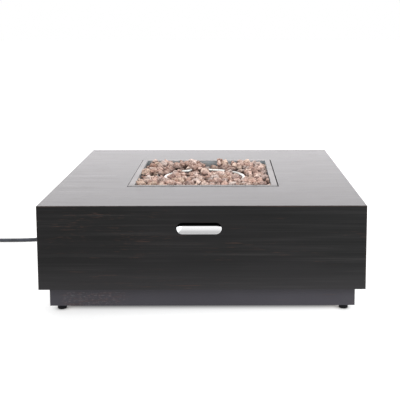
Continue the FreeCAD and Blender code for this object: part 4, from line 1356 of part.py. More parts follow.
    (8, 26.8, 218.93, -215.58, 32.28, 0.5961, 0.2640, -0.6985, -0.2949),
    (3, 35.7, 209.98, -171.08, 36.31, 0.2142, -0.1494, 0.8743, 0.4091),
    (3, 25.1, 228.64, -140.92, 21.40, -0.5280, -0.5447, 0.6470, 0.0771),
    (1, 28.5, 221.33, 28.82, 40.17, 0.9619, 0.1732, -0.0757, 0.1975),
    (3, 25.2, 185.87, -168.45, 31.98, -0.3802, 0.8246, -0.3555, -0.2217),
    (2, 32.6, 178.15, 118.53, 33.24, -0.0059, -0.5153, 0.6526, 0.5554),
    (12, 24.8, 115.33, -168.81, 33.15, 0.4142, 0.3875, 0.6930, 0.4451),
    (0, 31.9, -126.33, -163.71, 35.49, 0.0980, -0.4832, -0.0260, -0.8696),
    (6, 29.7, -146.43, -200.54, 37.05, -0.5200, -0.0179, 0.7566, -0.3961),
    (0, 34.4, -35.97, 41.37, 30.46, -0.1357, -0.9700, -0.1891, -0.0696),
    (8, 24.1, 49.09, 9.86, 34.35, 0.3047, -0.1147, 0.3230, 0.8887),
    (1, 33.3, -111.10, 37.48, 31.27, -0.5614, -0.7164, -0.3956, -0.1229),
    (6, 29.3, -19.92, -91.66, 29.54, -0.0641, 0.3740, 0.9060, 0.1877),
    (7, 32.0, -21.75, -39.49, 31.68, 0.1900, 0.8939, -0.3199, 0.2501),
    (10, 26.3, 51.37, -103.73, 30.60, 0.6361, 0.3293, -0.4014, -0.5708),
    (4, 27.5, 112.68, 166.62, 37.56, 0.9722, 0.0002, 0.0865, 0.2176),
    (8, 34.0, -40.10, 118.21, 19.91, 0.1902, 0.9335, -0.2855, 0.1045),
    (1, 29.9, -87.64, 80.74, 18.49, 0.2697, -0.4735, -0.5404, 0.6411),
    (1, 23.6, 64.23, 88.45, 17.55, 0.0004, 0.4019, 0.6119, -0.6812),
    (13, 26.4, -160.84, -30.43, 26.19, -0.5245, 0.0425, -0.8357, -0.1572),
    (13, 28.2, -112.79, -78.15, 31.84, 0.4836, 0.1208, -0.4195, -0.7586),
    (13, 29.7, -79.78, -125.03, 39.09, -0.3679, -0.0785, 0.9248, -0.0569),
    (4, 28.7, 75.94, -114.48, 37.08, -0.2981, -0.1284, 0.8246, 0.4633),
    (8, 27.1, 120.97, -68.94, 36.92, -0.0656, 0.6033, 0.7682, -0.2039),
    (5, 28.3, -21.36, 119.10, 34.40, -0.0863, -0.7886, -0.6059, 0.0595),
    (10, 26.8, -29.67, 129.53, 23.58, -0.6061, -0.6766, -0.1842, 0.3755),
    (8, 23.8, -132.51, -86.27, 34.29, -0.7102, -0.0966, -0.2395, 0.6550),
    (1, 25.0, 30.73, -159.11, 33.74, 0.0862, 0.4907, 0.8631, -0.0827),
    (1, 27.6, 97.27, -133.44, 31.23, 0.6463, -0.3767, 0.6626, -0.0379),
    (7, 31.8, 114.01, -87.36, 37.47, -0.1346, 0.3081, 0.0211, -0.9416),
    (3, 22.9, 26.59, 117.47, 18.30, 0.3221, 0.9170, -0.2201, 0.0830),
    (7, 23.5, -157.22, -43.47, 32.99, 0.1208, -0.8119, 0.1526, 0.5504),
    (4, 28.0, -154.63, -63.46, 30.40, -0.3691, -0.1301, -0.4032, 0.8272),
    (5, 35.6, -94.76, -67.97, 34.74, -0.1914, 0.5818, 0.4017, -0.6808),
    (0, 28.8, 153.25, -58.53, 29.71, 0.4856, 0.4279, 0.2481, -0.7208),
    (7, 33.8, -113.31, 18.03, 35.40, 0.0337, -0.7385, -0.5272, -0.4189),
    (12, 23.9, -53.39, -18.61, 17.21, -0.5400, 0.6265, 0.4440, -0.3446),
    (6, 23.3, -35.94, 9.50, 35.60, -0.8228, -0.0904, -0.2793, 0.4866),
    (13, 27.3, 86.43, 13.95, 25.30, 0.3172, 0.4522, 0.7203, -0.4197),
    (7, 24.3, 116.07, -10.41, 33.79, 0.1606, -0.2537, -0.9202, -0.2513),
    (8, 33.8, -114.14, -22.99, 34.64, -0.7574, 0.2477, -0.4014, 0.4516),
    (6, 30.2, -43.66, -16.91, 33.48, -0.6634, 0.5797, -0.2447, -0.4049),
    (11, 29.0, 83.56, 3.30, 38.46, 0.1879, -0.4103, 0.8757, 0.1716),
    (8, 26.6, -81.62, -11.20, 35.71, 0.8291, -0.1960, -0.2924, -0.4344),
    (7, 30.9, 20.43, -17.88, 37.78, -0.3622, 0.6699, 0.5276, -0.3764),
    (3, 35.6, 57.54, -37.82, 30.64, -0.8528, -0.3657, 0.3182, -0.1942),
    (3, 27.5, 75.81, -27.52, 31.07, 0.8770, 0.0400, -0.3875, -0.2811),
    (6, 25.6, -31.05, -26.32, 39.73, 0.5701, 0.3388, -0.6086, -0.4356),
    (5, 26.1, -3.01, -12.67, 41.09, 0.2664, 0.6607, 0.6447, -0.2772),
    (7, 29.5, 92.76, -44.02, 39.52, 0.7290, -0.2972, -0.4289, 0.4429),
    (0, 33.6, -99.87, -41.10, 38.01, -0.6629, -0.2051, -0.2495, 0.6754),
    (11, 31.7, 51.92, -10.13, 39.24, 0.0429, 0.8948, -0.1520, -0.4177),
    (8, 31.3, 1.81, 7.40, 41.72, -0.4279, 0.0960, -0.1833, 0.8798),
    (5, 27.1, -53.66, 8.35, 34.59, -0.3195, 0.0359, -0.8257, -0.4634),
    (9, 33.1, 40.02, -50.91, 37.11, 0.2420, 0.3062, 0.8690, 0.3041),
    (7, 37.6, -1.26, 43.74, 39.00, 0.0198, 0.1943, -0.8794, -0.4341),
    (10, 25.7, -101.51, 89.50, 30.43, 0.2485, 0.9492, 0.0090, -0.1926),
    (5, 28.5, -45.11, 125.05, 35.91, -0.5255, 0.5505, -0.6384, -0.1154),
    (9, 29.8, 84.58, 101.70, 25.02, 0.0204, 0.9428, -0.0560, -0.3279),
    (3, 31.0, 96.64, 85.02, 24.51, 0.6633, -0.5151, 0.5295, 0.1201),
]
BED = 163  # the first rows: the stones next to the pan's floor
kinds = [kind_points(k) for k in range(14)]
kind_faces = [hull_faces(p) for p in kinds]
base = V(OX.v, OY.v, v["pan_floor"])
stones = []
for k, size, x, y, z, qw, qx, qy, qz in ROCKS:
    turn = R(qx, qy, qz, qw)
    own = [p * size for p in kinds[k]]
    middle = V(0, 0, 0)
    for p in own:
        middle = middle + p
    middle = middle * (1.0 / len(own))
    placed = [turn.multVec(middle + (p - middle) * v["rock_scale"]) + V(x, y, z) + base for p in own]
    stones.append(rock(placed, kind_faces[k]))
for label, node, some in (("lava_rock_bed", "lava_rocks_lower", stones[:BED]), ("lava_rock_fill", "lava_rocks", stones[BED:])):
    o = doc.addObject("Part::Feature", label)
    o.Shape = Part.makeCompound(some)
    o.Placement = FreeCAD.Placement()
    part(node, o)
print("rocks: %d in the bed, %d above" % (BED, len(stones) - BED))

# ---- checks and output
doc.recompute()
bad = []
for o in doc.Objects:
    if "Invalid" in o.State or "Error" in o.State:
        bad.append("%s (%s): %s" % (o.Label, o.TypeId, o.State))
for label, o in parts.items():
    s = o.Shape
    if s.isNull() or not s.isValid() or not s.Solids:
        bad.append("%s has no valid solid" % label)
if bad:
    raise SystemExit("\n".join(bad))
os.makedirs("parts", exist_ok=True)
for label, o in parts.items():
    o.Shape.exportStep("parts/%s.step" % label)
print("%d sub-parts written" % len(parts))
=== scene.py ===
import json
import math
import random

import bmesh
import bpy
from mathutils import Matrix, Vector, noise

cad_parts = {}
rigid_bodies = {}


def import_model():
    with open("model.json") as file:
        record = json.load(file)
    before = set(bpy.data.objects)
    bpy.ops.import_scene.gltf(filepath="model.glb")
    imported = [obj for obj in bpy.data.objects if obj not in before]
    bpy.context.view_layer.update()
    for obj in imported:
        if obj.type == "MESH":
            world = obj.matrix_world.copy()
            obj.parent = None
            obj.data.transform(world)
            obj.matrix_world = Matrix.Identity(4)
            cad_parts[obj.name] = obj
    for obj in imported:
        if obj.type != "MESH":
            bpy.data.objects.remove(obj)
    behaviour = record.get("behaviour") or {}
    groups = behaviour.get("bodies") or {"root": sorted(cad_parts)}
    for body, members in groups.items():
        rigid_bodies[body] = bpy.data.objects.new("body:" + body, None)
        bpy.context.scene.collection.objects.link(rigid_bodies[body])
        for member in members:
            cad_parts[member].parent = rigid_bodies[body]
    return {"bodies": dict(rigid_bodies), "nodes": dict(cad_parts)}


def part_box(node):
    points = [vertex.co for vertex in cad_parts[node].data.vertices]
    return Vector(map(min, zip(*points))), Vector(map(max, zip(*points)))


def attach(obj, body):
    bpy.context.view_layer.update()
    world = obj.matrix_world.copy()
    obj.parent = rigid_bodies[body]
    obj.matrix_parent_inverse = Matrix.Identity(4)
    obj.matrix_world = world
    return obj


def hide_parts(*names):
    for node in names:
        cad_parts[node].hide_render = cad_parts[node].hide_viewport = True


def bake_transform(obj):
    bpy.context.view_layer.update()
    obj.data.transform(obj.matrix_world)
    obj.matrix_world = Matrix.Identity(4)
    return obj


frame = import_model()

bpy.context.view_layer.update()
nodes, bodies = frame["nodes"], frame["bodies"]
scene = bpy.context.scene
scene.view_settings.view_transform = "Standard"
scene.view_settings.look = "None"
scene.view_settings.exposure = 0.0
scene.view_settings.gamma = 1.0

# ------------------------------------------------------------------ camera
cam_data = bpy.data.cameras.new("camera")
cam = bpy.data.objects.new("camera", cam_data)
scene.collection.objects.link(cam)
cam_data.sensor_fit = "VERTICAL"
cam_data.sensor_height = 36.0
cam_data.sensor_width = 32.4
cam_data.lens = 68.27
cam_data.clip_end = 100.0
cam.location = (0.07592, -2.77881, 0.9116)
cam.rotation_euler = (math.radians(90.0 - 6.734), math.radians(0.043), math.radians(-0.266))
cam_data.shift_x = -0.0746
cam_data.shift_y = -0.225
scene.camera = cam


# ------------------------------------------------------------------ the gas hose, one smooth line
MM = 0.001
HOSE_D = 0.0135
LOW = 6.75
route = [
    (-443, 214, 140), (-443, 214, 104), (-442.2, 223, 65), (-441.4, 248, 32), (-442.6, 284, 13),
    (-451, 321, 7.35), (-473, 353, LOW), (-507, 374, LOW), (-548, 379, LOW), (-590, 367, LOW), (-634, 345, LOW), (-678, 317, LOW),
    (-724, 297.5, LOW), (-772, 292.8, LOW), (-822, 291.6, LOW), (-872, 291.3, LOW), (-922, 291.9, LOW), (-968, 293.2, LOW),
]
# the spare length: two turns inwards on the floor, a quarter turn up, two turns outwards on top
COIL_X, COIL_Y, R_OUT, R_IN, PER_TURN = -1020.0, 383.0, 90.0, 63.0, 16
SPREAD = 8.0 / (6.0 + 2.0 * math.cos(2 * math.pi / PER_TURN))


def coil_point(turns, radius, z):
    a = math.radians(-90.0) - 2 * math.pi * turns
    return (COIL_X + radius * SPREAD * math.cos(a), COIL_Y + radius * SPREAD * math.sin(a), z)


for i in range(0, 2 * PER_TURN + 1):
    t = i / PER_TURN
    route.append(coil_point(t, R_OUT - (R_OUT - R_IN) * t / 2, LOW))
for i in range(1, 4):
    t = 2 + i / PER_TURN
    route.append(coil_point(t, R_IN, LOW + 2 * LOW * i / 4))
for i in range(4, 2 * PER_TURN + 5):
    t = 2 + i / PER_TURN
    route.append(coil_point(t, R_IN + (R_OUT - R_IN) * (i - 4) / (2 * PER_TURN), 3 * LOW))
route += [
    (-1110.4, 408, 19.2), (-1110.8, 440, 16.6), (-1111.6, 475, 14.8), (-1111.8, 507, 15.6), (-1111, 539, 20),
    (-1110, 572, 27), (-1110, 600, 27),
]
curve = bpy.data.curves.new("gas_hose_line", "CURVE")
curve.dimensions = "3D"
spline = curve.splines.new("NURBS")
spline.points.add(len(route) - 1)
for p, (x, y, z) in zip(spline.points, route):
    p.co = (x * MM, y * MM, z * MM, 1.0)
    p.radius = HOSE_D / 2
spline.order_u = 3
spline.use_endpoint_u = True
spline.resolution_u = 6
curve.bevel_depth = 1.0
curve.bevel_resolution = 6
curve.use_fill_caps = True
hose = bpy.data.objects.new("gas_hose_rubber", curve)
scene.collection.objects.link(hose)
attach(hose, "table")
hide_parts("gas_hose", "hose_coil", "hose_tail")


# ------------------------------------------------------------------ material helpers
class Mat:
    """A small wrapper that adds shader nodes and links them."""

    def __init__(self, name):
        self.m = bpy.data.materials.new(name)
        self.m.use_nodes = True
        self.t = self.m.node_tree
        self.n = self.t.nodes
        self.bsdf = next(x for x in self.n if x.type == "BSDF_PRINCIPLED")
        self._coords = self._geo = None

    def put(self, kind, **props):
        node = self.n.new(kind)
        for k, v in props.items():
            setattr(node, k, v)
        return node

    def set(self, socket, value):
        if isinstance(value, bpy.types.NodeSocket):
            self.t.links.new(value, socket)
        elif isinstance(value, (tuple, list)) and len(value) == 3 and socket.type == "RGBA":
            socket.default_value = (*value, 1.0)
        else:
            socket.default_value = value
        return self

    def coords(self):
        if self._coords is None:
            self._coords = self.put("ShaderNodeTexCoord")
        return self._coords.outputs["Object"]

    def geo(self, name):
        if self._geo is None:
            self._geo = self.put("ShaderNodeNewGeometry")
        return self._geo.outputs[name]

    def normal(self):
        if self._coords is None:
            self._coords = self.put("ShaderNodeTexCoord")
        return self._coords.outputs["Normal"]

    def math(self, op, a, b=0.0, c=0.0, clamp=False):
        node = self.put("ShaderNodeMath", operation=op, use_clamp=clamp)
        self.set(node.inputs[0], a)
        self.set(node.inputs[1], b)
        if len(node.inputs) > 2:
            self.set(node.inputs[2], c)
        return node.outputs[0]

    def split(self, vector):
        node = self.put("ShaderNodeSeparateXYZ")
        self.set(node.inputs[0], vector)
        return node.outputs

    def join(self, x, y, z):
        node = self.put("ShaderNodeCombineXYZ")
        for s, v in zip(node.inputs, (x, y, z)):
            self.set(s, v)
        return node.outputs[0]

    def scaled(self, vector, scale, move=(0, 0, 0)):
        node = self.put("ShaderNodeMapping")
        self.set(node.inputs["Vector"], vector)
        node.inputs["Scale"].default_value = scale
        node.inputs["Location"].default_value = move
        return node.outputs[0]

    def noise(self, vector, scale=5.0, detail=3.0, rough=0.5, distort=0.0):
        node = self.put("ShaderNodeTexNoise")
        self.set(node.inputs["Vector"], vector)
        node.inputs["Scale"].default_value = scale
        node.inputs["Detail"].default_value = detail
        node.inputs["Roughness"].default_value = rough
        node.inputs["Distortion"].default_value = distort
        return node.outputs[0]

    def cells(self, vector, scale=5.0, feature="F1", out="Distance"):
        node = self.put("ShaderNodeTexVoronoi", feature=feature)
        self.set(node.inputs["Vector"], vector)
        node.inputs["Scale"].default_value = scale
        return node.outputs[out]

    def remap(self, value, a, b, to_a=0.0, to_b=1.0, smooth=True):
        node = self.put("ShaderNodeMapRange", interpolation_type="SMOOTHSTEP" if smooth else "LINEAR")
        self.set(node.inputs["Value"], value)
        node.inputs["From Min"].default_value = a
        node.inputs["From Max"].default_value = b
        node.inputs["To Min"].default_value = to_a
        node.inputs["To Max"].default_value = to_b
        return node.outputs[0]

    def mix(self, factor, a, b, kind="MIX"):
        node = self.put("ShaderNodeMix", data_type="RGBA", blend_type=kind)
        self.set(node.inputs[0], factor)
        self.set(node.inputs[6], a)
        self.set(node.inputs[7], b)
        return node.outputs[2]

    def ramp(self, factor, stops):
        node = self.put("ShaderNodeValToRGB")
        self.set(node.inputs[0], factor)
        e = node.color_ramp.elements
        while len(e) < len(stops):
            e.new(0.5)
        for el, (pos, col) in zip(e, stops):
            el.position = pos
            el.color = (*col, 1.0)
        return node.outputs[0]

    def bump(self, height, strength=0.3, distance=0.001, normal=None):
        node = self.put("ShaderNodeBump")
        self.set(node.inputs["Height"], height)
        node.inputs["Strength"].default_value = strength
        node.inputs["Distance"].default_value = distance
        if normal is not None:
            self.set(node.inputs["Normal"], normal)
        return node.outputs[0]

    def out(self, **kw):
        names = {"color": "Base Color", "rough": "Roughness", "metal": "Metallic", "normal": "Normal", "ior": "IOR",
                 "spec": "Specular IOR Level", "aniso": "Anisotropic", "coat": "Coat Weight", "coat_rough": "Coat Roughness",
                 "sheen": "Sheen Weight", "coat_ior": "Coat IOR"}
        for k, v in kw.items():
            self.set(self.bsdf.inputs[names[k]], v)
        return self.m


def paint_on(node_names, material):
    for n in node_names:
        o = nodes[n]
        if not o.material_slots:
            o.data.materials.append(material)
        for s in o.material_slots:
            s.link = "OBJECT"
            s.material = material


# ------------------------------------------------------------------ brushed dark paint
def brushed_paint(name, lift, floor_bounce_tint=(0.063, 0.059, 0.062), scuffed=False):
    m = Mat(name)
    x, y, z = m.split(m.coords())
    nx, ny, nz = m.split(m.normal())
    up = m.remap(m.math("ABSOLUTE", nz), 0.6, 0.8)
    side = m.remap(m.math("ABSOLUTE", nx), 0.6, 0.8)
    # along: the way the brush went; across: over the brush marks; face: keeps the sides from sharing marks
    along = m.math("ADD", m.math("MULTIPLY", x, m.math("SUBTRACT", 1.0, side)), m.math("MULTIPLY", y, side))
    across = m.math("ADD", m.math("MULTIPLY", z, m.math("SUBTRACT", 1.0, up)), m.math("MULTIPLY", y, up))
    face = m.math("ADD", m.math("MULTIPLY", m.math("SIGN", m.math("ADD", m.math("MULTIPLY", nx, 2.0), ny)), 3.7), m.math("MULTIPLY", side, 11.3))
    face = m.math("ADD", face, m.math("MULTIPLY", up, 5.1))
    fine = m.noise(m.join(m.math("MULTIPLY", along, 3.0), m.math("MULTIPLY", across, 420.0), face), 1.0, 4.0, 0.62)
    broad = m.noise(m.join(m.math("MULTIPLY", along, 2.0), m.math("MULTIPLY", across, 70.0), m.math("ADD", face, 2.0)), 1.0, 3.0, 0.55, 0.15)
    cloud = m.noise(m.join(m.math("MULTIPLY", along, 3.2), m.math("MULTIPLY", across, 5.0), m.math("ADD", face, 7.0)), 1.0, 2.0, 0.5)
    # rub-through streaks: thin, a few centimetres long, in loose groups
    dash = m.noise(m.join(m.math("MULTIPLY", along, 14.0), m.math("MULTIPLY", across, 330.0), m.math("ADD", face, 4.0)), 1.0, 2.0, 0.6)
    groups = m.noise(m.join(m.math("MULTIPLY", along, 4.0), m.math("MULTIPLY", across, 16.0), m.math("ADD", face, 9.0)), 1.0, 2.0, 0.5)
    tint_mask = m.math("MULTIPLY", m.remap(dash, 0.60, 0.70), m.remap(groups, 0.47, 0.62))
    # wear along the edges of the block
    ex = m.math("SUBTRACT", 0.508, m.math("ABSOLUTE", x))
    ey = m.math("SUBTRACT", 0.508, m.math("ABSOLUTE", y))
    ez = m.math("SUBTRACT", 0.348, z)
    lo = m.math("MINIMUM", m.math("MAXIMUM", ex, ey), m.math("MINIMUM", m.math("MAXIMUM", ex, ez), m.math("MAXIMUM", ey, ez)))
    edge = m.remap(m.math("ADD", lo, m.math("MULTIPLY", m.math("SUBTRACT", cloud, 0.5), 0.006)), 0.0004, 0.0042, 1.0, 0.0)
    edge = m.math("MULTIPLY", edge, m.remap(fine, 0.42, 0.62))
    base = m.ramp(m.math("ADD", m.math("MULTIPLY", fine, 0.55), m.math("MULTIPLY", broad, 0.45)), [
        (0.34, (0.0012, 0.0012, 0.0012)), (0.48, (0.0034, 0.0034, 0.0035)), (0.56, (0.0066, 0.0064, 0.0065)), (0.66, (0.0170, 0.0156, 0.0156))])
    # painted light: the colour is lifted towards the bottom, standing in for the light bounced up from the bright floor
    low = m.remap(z, 0.20, 0.03)
    base = m.mix(m.math("MULTIPLY", low, lift), base, floor_bounce_tint)
    base = m.mix(m.math("MULTIPLY", m.remap(cloud, 0.35, 0.75), 0.25), base, (0.016, 0.014, 0.0155))
    base = m.mix(m.math("MULTIPLY", tint_mask, 0.27), base, (0.080, 0.038, 0.026))
    base = m.mix(m.math("MULTIPLY", edge, 0.5), base, (0.085, 0.050, 0.038))
    if not scuffed:
        # more of the same streaks, shorter and redder, high on the front at the left
        left = m.math("MULTIPLY", m.math("MULTIPLY", m.remap(x, 0.02, -0.36), m.remap(z, 0.19, 0.27)), m.remap(ny, -0.6, -0.8))
        short = m.noise(m.join(m.math("MULTIPLY", x, 24.0), m.math("MULTIPLY", z, 400.0), 61.0), 1.0, 2.0, 0.6)
        cluster = m.noise(m.join(m.math("MULTIPLY", x, 7.0), m.math("MULTIPLY", z, 26.0), 71.0), 1.0, 2.0, 0.5)
        rub = m.math("MULTIPLY", m.math("MULTIPLY", m.remap(short, 0.56, 0.68), m.remap(cluster, 0.44, 0.60)), left)
        base = m.mix(m.math("MULTIPLY", rub, 0.42), base, (0.105, 0.052, 0.038))
    else:
        # speckled, rubbed patch low on the front at the left: reddish and grey flecks, a rusty band above them
        patch = m.math("MULTIPLY", m.math("MULTIPLY", m.remap(x, -0.452, -0.425), m.remap(x, -0.205, -0.300)), m.remap(ny, -0.6, -0.8))
        patch = m.math("MULTIPLY", patch, m.remap(z, 0.071, 0.060))
        fleck = m.noise(m.join(m.math("MULTIPLY", x, 95.0), m.math("MULTIPLY", z, 210.0), 5.0), 1.0, 3.0, 0.7)
        grey = m.noise(m.join(m.math("MULTIPLY", x, 80.0), m.math("MULTIPLY", z, 190.0), 23.0), 1.0, 3.0, 0.7)
        band = m.noise(m.join(m.math("MULTIPLY", x, 12.0), m.math("MULTIPLY", z, 90.0), 41.0), 1.0, 2.0, 0.5)
        base = m.mix(m.math("MULTIPLY", patch, m.remap(fleck, 0.52, 0.64, 0.0, 0.62)), base, (0.108, 0.074, 0.078))
        base = m.mix(m.math("MULTIPLY", patch, m.remap(grey, 0.54, 0.66, 0.0, 0.65)), base, (0.105, 0.100, 0.108))
        base = m.mix(m.math("MULTIPLY", patch, m.remap(band, 0.50, 0.64, 0.0, 0.36)), base, (0.058, 0.038, 0.037))
    rough = m.math("ADD", m.remap(fine, 0.3, 0.7, 0.27, 0.37, smooth=False), m.math("MULTIPLY", tint_mask, 0.12))
    # painted shade: the step and bore of the fire opening are painted near black and made rougher, standing in for the
    # shade down in the rebate
    px = m.math("ABSOLUTE", m.math("ADD", x, 0.0045))
    py = m.math("ABSOLUTE", m.math("SUBTRACT", y, 0.015))
    hole = m.math("MULTIPLY", m.math("MULTIPLY", m.math("LESS_THAN", px, 0.2597), m.math("LESS_THAN", py, 0.2512)), m.math("LESS_THAN", z, 0.3478))
    base = m.mix(hole, base, (0.0015, 0.0014, 0.0015))
    rough = m.math("ADD", rough, m.math("MULTIPLY", hole, 0.6), clamp=True)
    height = m.math("ADD", m.math("MULTIPLY", fine, 0.6), m.math("MULTIPLY", broad, 0.4))
    return m.out(color=base, rough=rough, ior=1.28, normal=m.bump(height, 0.10, 0.0005))


# ------------------------------------------------------------------ metals
def steel(name, tint, rough, grain=(60.0, 60.0, 2.0), grain_strength=0.15, stain=None, spread=0.1):
    m = Mat(name)
    c = m.coords()
    fine = m.noise(m.scaled(c, grain), 10.0, 3.0, 0.6)
    cloud = m.noise(c, 9.0, 3.0, 0.5)
    dark = tuple(v * 0.80 for v in tint)
    col = m.mix(m.remap(m.math("ADD", m.math("MULTIPLY", fine, 0.5), m.math("MULTIPLY", cloud, 0.5)), 0.35, 0.68), dark, tint)
    if stain:
        spots = m.noise(c, 55.0, 4.0, 0.6)
        col = m.mix(m.math("MULTIPLY", m.remap(spots, 0.58, 0.74), 0.6), col, stain)
    r = m.remap(m.math("ADD", fine, m.math("MULTIPLY", cloud, 0.4)), 0.45, 0.95, rough - spread * 0.5, rough + spread, smooth=False)
    return m.out(color=col, metal=1.0, rough=r, normal=m.bump(fine, grain_strength, 0.0002))


def pull_steel(name):
    """Polished, with painted shading: darker down the scoop towards the lip."""
    m = Mat(name)
    c = m.coords()
    z = m.split(c)[2]
    fine = m.noise(m.scaled(c, (1.5, 60.0, 60.0)), 10.0, 3.0, 0.6)
    cloud = m.noise(c, 14.0, 3.0, 0.5)
    # painted shading: white near the scoop's top edge and darker down towards the lip, standing in for the reflections
    # changing down the curve
    tint_mask = m.math("ADD", m.remap(z, 0.2595, 0.2813, smooth=False), m.math("MULTIPLY", m.math("SUBTRACT", cloud, 0.5), 0.08))
    col = m.ramp(tint_mask, [(0.06, (0.46, 0.46, 0.465)), (0.36, (0.60, 0.60, 0.605)), (0.52, (0.80, 0.80, 0.805)), (0.68, (0.92, 0.92, 0.925)), (0.92, (1.0, 1.0, 1.0))])
    col = m.mix(m.remap(fine, 0.35, 0.68), m.mix(0.06, col, (0.3, 0.3, 0.3)), col)
    r = m.remap(fine, 0.3, 0.7, 0.17, 0.22, smooth=False)
    return m.out(color=col, metal=1.0, rough=r, normal=m.bump(fine, 0.02, 0.0002))


def pan_steel(name):
    """Brushed on the flange, blued by heat inside the tub."""
    m = Mat(name)
    c = m.coords()
    nx, ny, nz = m.split(m.normal())
    x, y, z = m.split(c)
    up = m.remap(m.math("ABSOLUTE", nz), 0.6, 0.8)
    side = m.remap(m.math("ABSOLUTE", nx), 0.6, 0.8)
    along = m.math("ADD", m.math("MULTIPLY", x, m.math("SUBTRACT", 1.0, side)), m.math("MULTIPLY", y, side))
    across = m.math("ADD", m.math("MULTIPLY", z, m.math("SUBTRACT", 1.0, up)), m.math("MULTIPLY", y, up))
    fine = m.noise(m.join(m.math("MULTIPLY", along, 14.0), m.math("MULTIPLY", across, 900.0), side), 1.0, 3.0, 0.6)
    cloud = m.noise(c, 11.0, 4.0, 0.55)
    heat = m.noise(m.scaled(c, (1.0, 1.0, 2.2)), 24.0, 3.0, 0.5)
    plain = m.mix(m.remap(m.math("ADD", m.math("MULTIPLY", fine, 0.5), m.math("MULTIPLY", cloud, 0.5)), 0.35, 0.65), (0.208, 0.199, 0.199), (0.292, 0.280, 0.278))
    blued = m.ramp(m.math("ADD", m.math("MULTIPLY", heat, 0.7), m.math("MULTIPLY", fine, 0.3)), [
        (0.30, (0.420, 0.560, 0.640)), (0.50, (0.560, 0.640, 0.680)), (0.68, (0.600, 0.560, 0.510))])
    inside = m.remap(z, 0.3482, 0.3460)
    col = m.mix(inside, plain, blued)
    soot = m.math("MULTIPLY", m.remap(z, 0.330, 0.304), m.remap(cloud, 0.35, 0.65, 0.5, 0.95))
    col = m.mix(m.math("MULTIPLY", soot, 0.7), col, (0.05, 0.04, 0.038))
    # painted shade: the front strip of the flange is darker, standing in for the shade under the top's front lip
    col = m.mix(m.math("MULTIPLY", m.remap(y, -0.2100, -0.2130), m.remap(cloud, 0.3, 0.7, 0.30, 0.52)), col, (0.03, 0.029, 0.029))
    r = m.math("ADD", m.remap(fine, 0.3, 0.7, 0.46, 0.58, smooth=False), m.math("MULTIPLY", inside, -0.06))
    return m.out(color=col, metal=1.0, rough=r, normal=m.bump(fine, 0.10, 0.0002))


def dial_face(name):
    """Brushed plate with plain tick marks round the knob."""
    m = Mat(name)
    c = m.coords()
    x, y, z = m.split(c)
    dy, dz = m.math("SUBTRACT", y, 0.214), m.math("SUBTRACT", z, 0.216)
    away = m.math("SQRT", m.math("ADD", m.math("MULTIPLY", dy, dy), m.math("MULTIPLY", dz, dz)))
    turn = m.math("DIVIDE", m.math("ARCTAN2", dy, dz), math.radians(27.0))
    step = m.math("ABSOLUTE", m.math("SUBTRACT", m.math("FRACT", m.math("ADD", turn, 50.5)), 0.5))
    # a tick keeps its width from end to end
    tick = m.math("LESS_THAN", m.math("MULTIPLY", m.math("MULTIPLY", step, math.radians(27.0)), away), 0.00045)
    tick = m.math("MULTIPLY", tick, m.math("LESS_THAN", m.math("ABSOLUTE", turn), 5.2))
    tick = m.math("MULTIPLY", tick, m.math("MULTIPLY", m.math("GREATER_THAN", away, 0.0262), m.math("LESS_THAN", away, 0.0300)))
    fine = m.noise(m.scaled(c, (90.0, 3.0, 90.0)), 10.0, 3.0, 0.6)
    col = m.mix(m.remap(fine, 0.35, 0.68), (0.50, 0.51, 0.53), (0.62, 0.63, 0.65))
    col = m.mix(tick, col, (0.015, 0.015, 0.016))
    return m.out(color=col, metal=m.math("SUBTRACT", 1.0, tick), rough=m.remap(fine, 0.3, 0.7, 0.26, 0.36, smooth=False), normal=m.bump(fine, 0.08, 0.0002))


def turned_knob(name):
    """Satin turned metal, with a dark line on its face to show where it points."""
    m = Mat(name)
    c = m.coords()
    x, y, z = m.split(c)
    dy, dz = m.math("SUBTRACT", y, 0.214), m.math("SUBTRACT", z, 0.216)
    away = m.math("SQRT", m.math("ADD", m.math("MULTIPLY", dy, dy), m.math("MULTIPLY", dz, dz)))
    rings = m.noise(m.join(m.math("MULTIPLY", away, 900.0), m.math("MULTIPLY", x, 500.0), 0.0), 1.0, 2.0, 0.5)
    cloud = m.noise(c, 40.0, 3.0, 0.5)
    face = m.remap(m.math("MULTIPLY", m.split(m.normal())[0], -1.0), 0.6, 0.8)
    line = m.math("MULTIPLY", m.math("LESS_THAN", m.math("ABSOLUTE", dy), 0.0009), m.math("MULTIPLY", m.math("GREATER_THAN", dz, 0.0060), face))
    col = m.mix(m.remap(m.math("ADD", m.math("MULTIPLY", rings, 0.6), m.math("MULTIPLY", cloud, 0.4)), 0.35, 0.65), (0.52, 0.52, 0.53), (0.66, 0.66, 0.67))
    col = m.mix(line, col, (0.012, 0.012, 0.013))
    return m.out(color=col, metal=m.math("SUBTRACT", 1.0, line), rough=m.remap(rings, 0.3, 0.7, 0.24, 0.32, smooth=False), normal=m.bump(rings, 0.06, 0.0002))


def plastic(name, colour, rough, grain=900.0, strength=0.12, dust=(0.10, 0.10, 0.10), spec=0.5):
    m = Mat(name)
    c = m.coords()
    pebble = m.noise(c, grain, 2.0, 0.5)
    cloud = m.noise(c, 18.0, 4.0, 0.6)
    lifted = tuple(min(1.0, v * 1.7 + 0.004) for v in colour)
    col = m.mix(m.remap(cloud, 0.4, 0.7), colour, lifted)
    nz = m.split(m.normal())[2]
    col = m.mix(m.math("MULTIPLY", m.remap(nz, 0.4, 1.0), m.math("MULTIPLY", m.remap(cloud, 0.45, 0.7), 0.25)), col, dust)
    r = m.remap(cloud, 0.3, 0.7, rough - 0.05, rough + 0.08, smooth=False)
    return m.out(color=col, rough=r, spec=spec, normal=m.bump(pebble, strength, 0.0002))


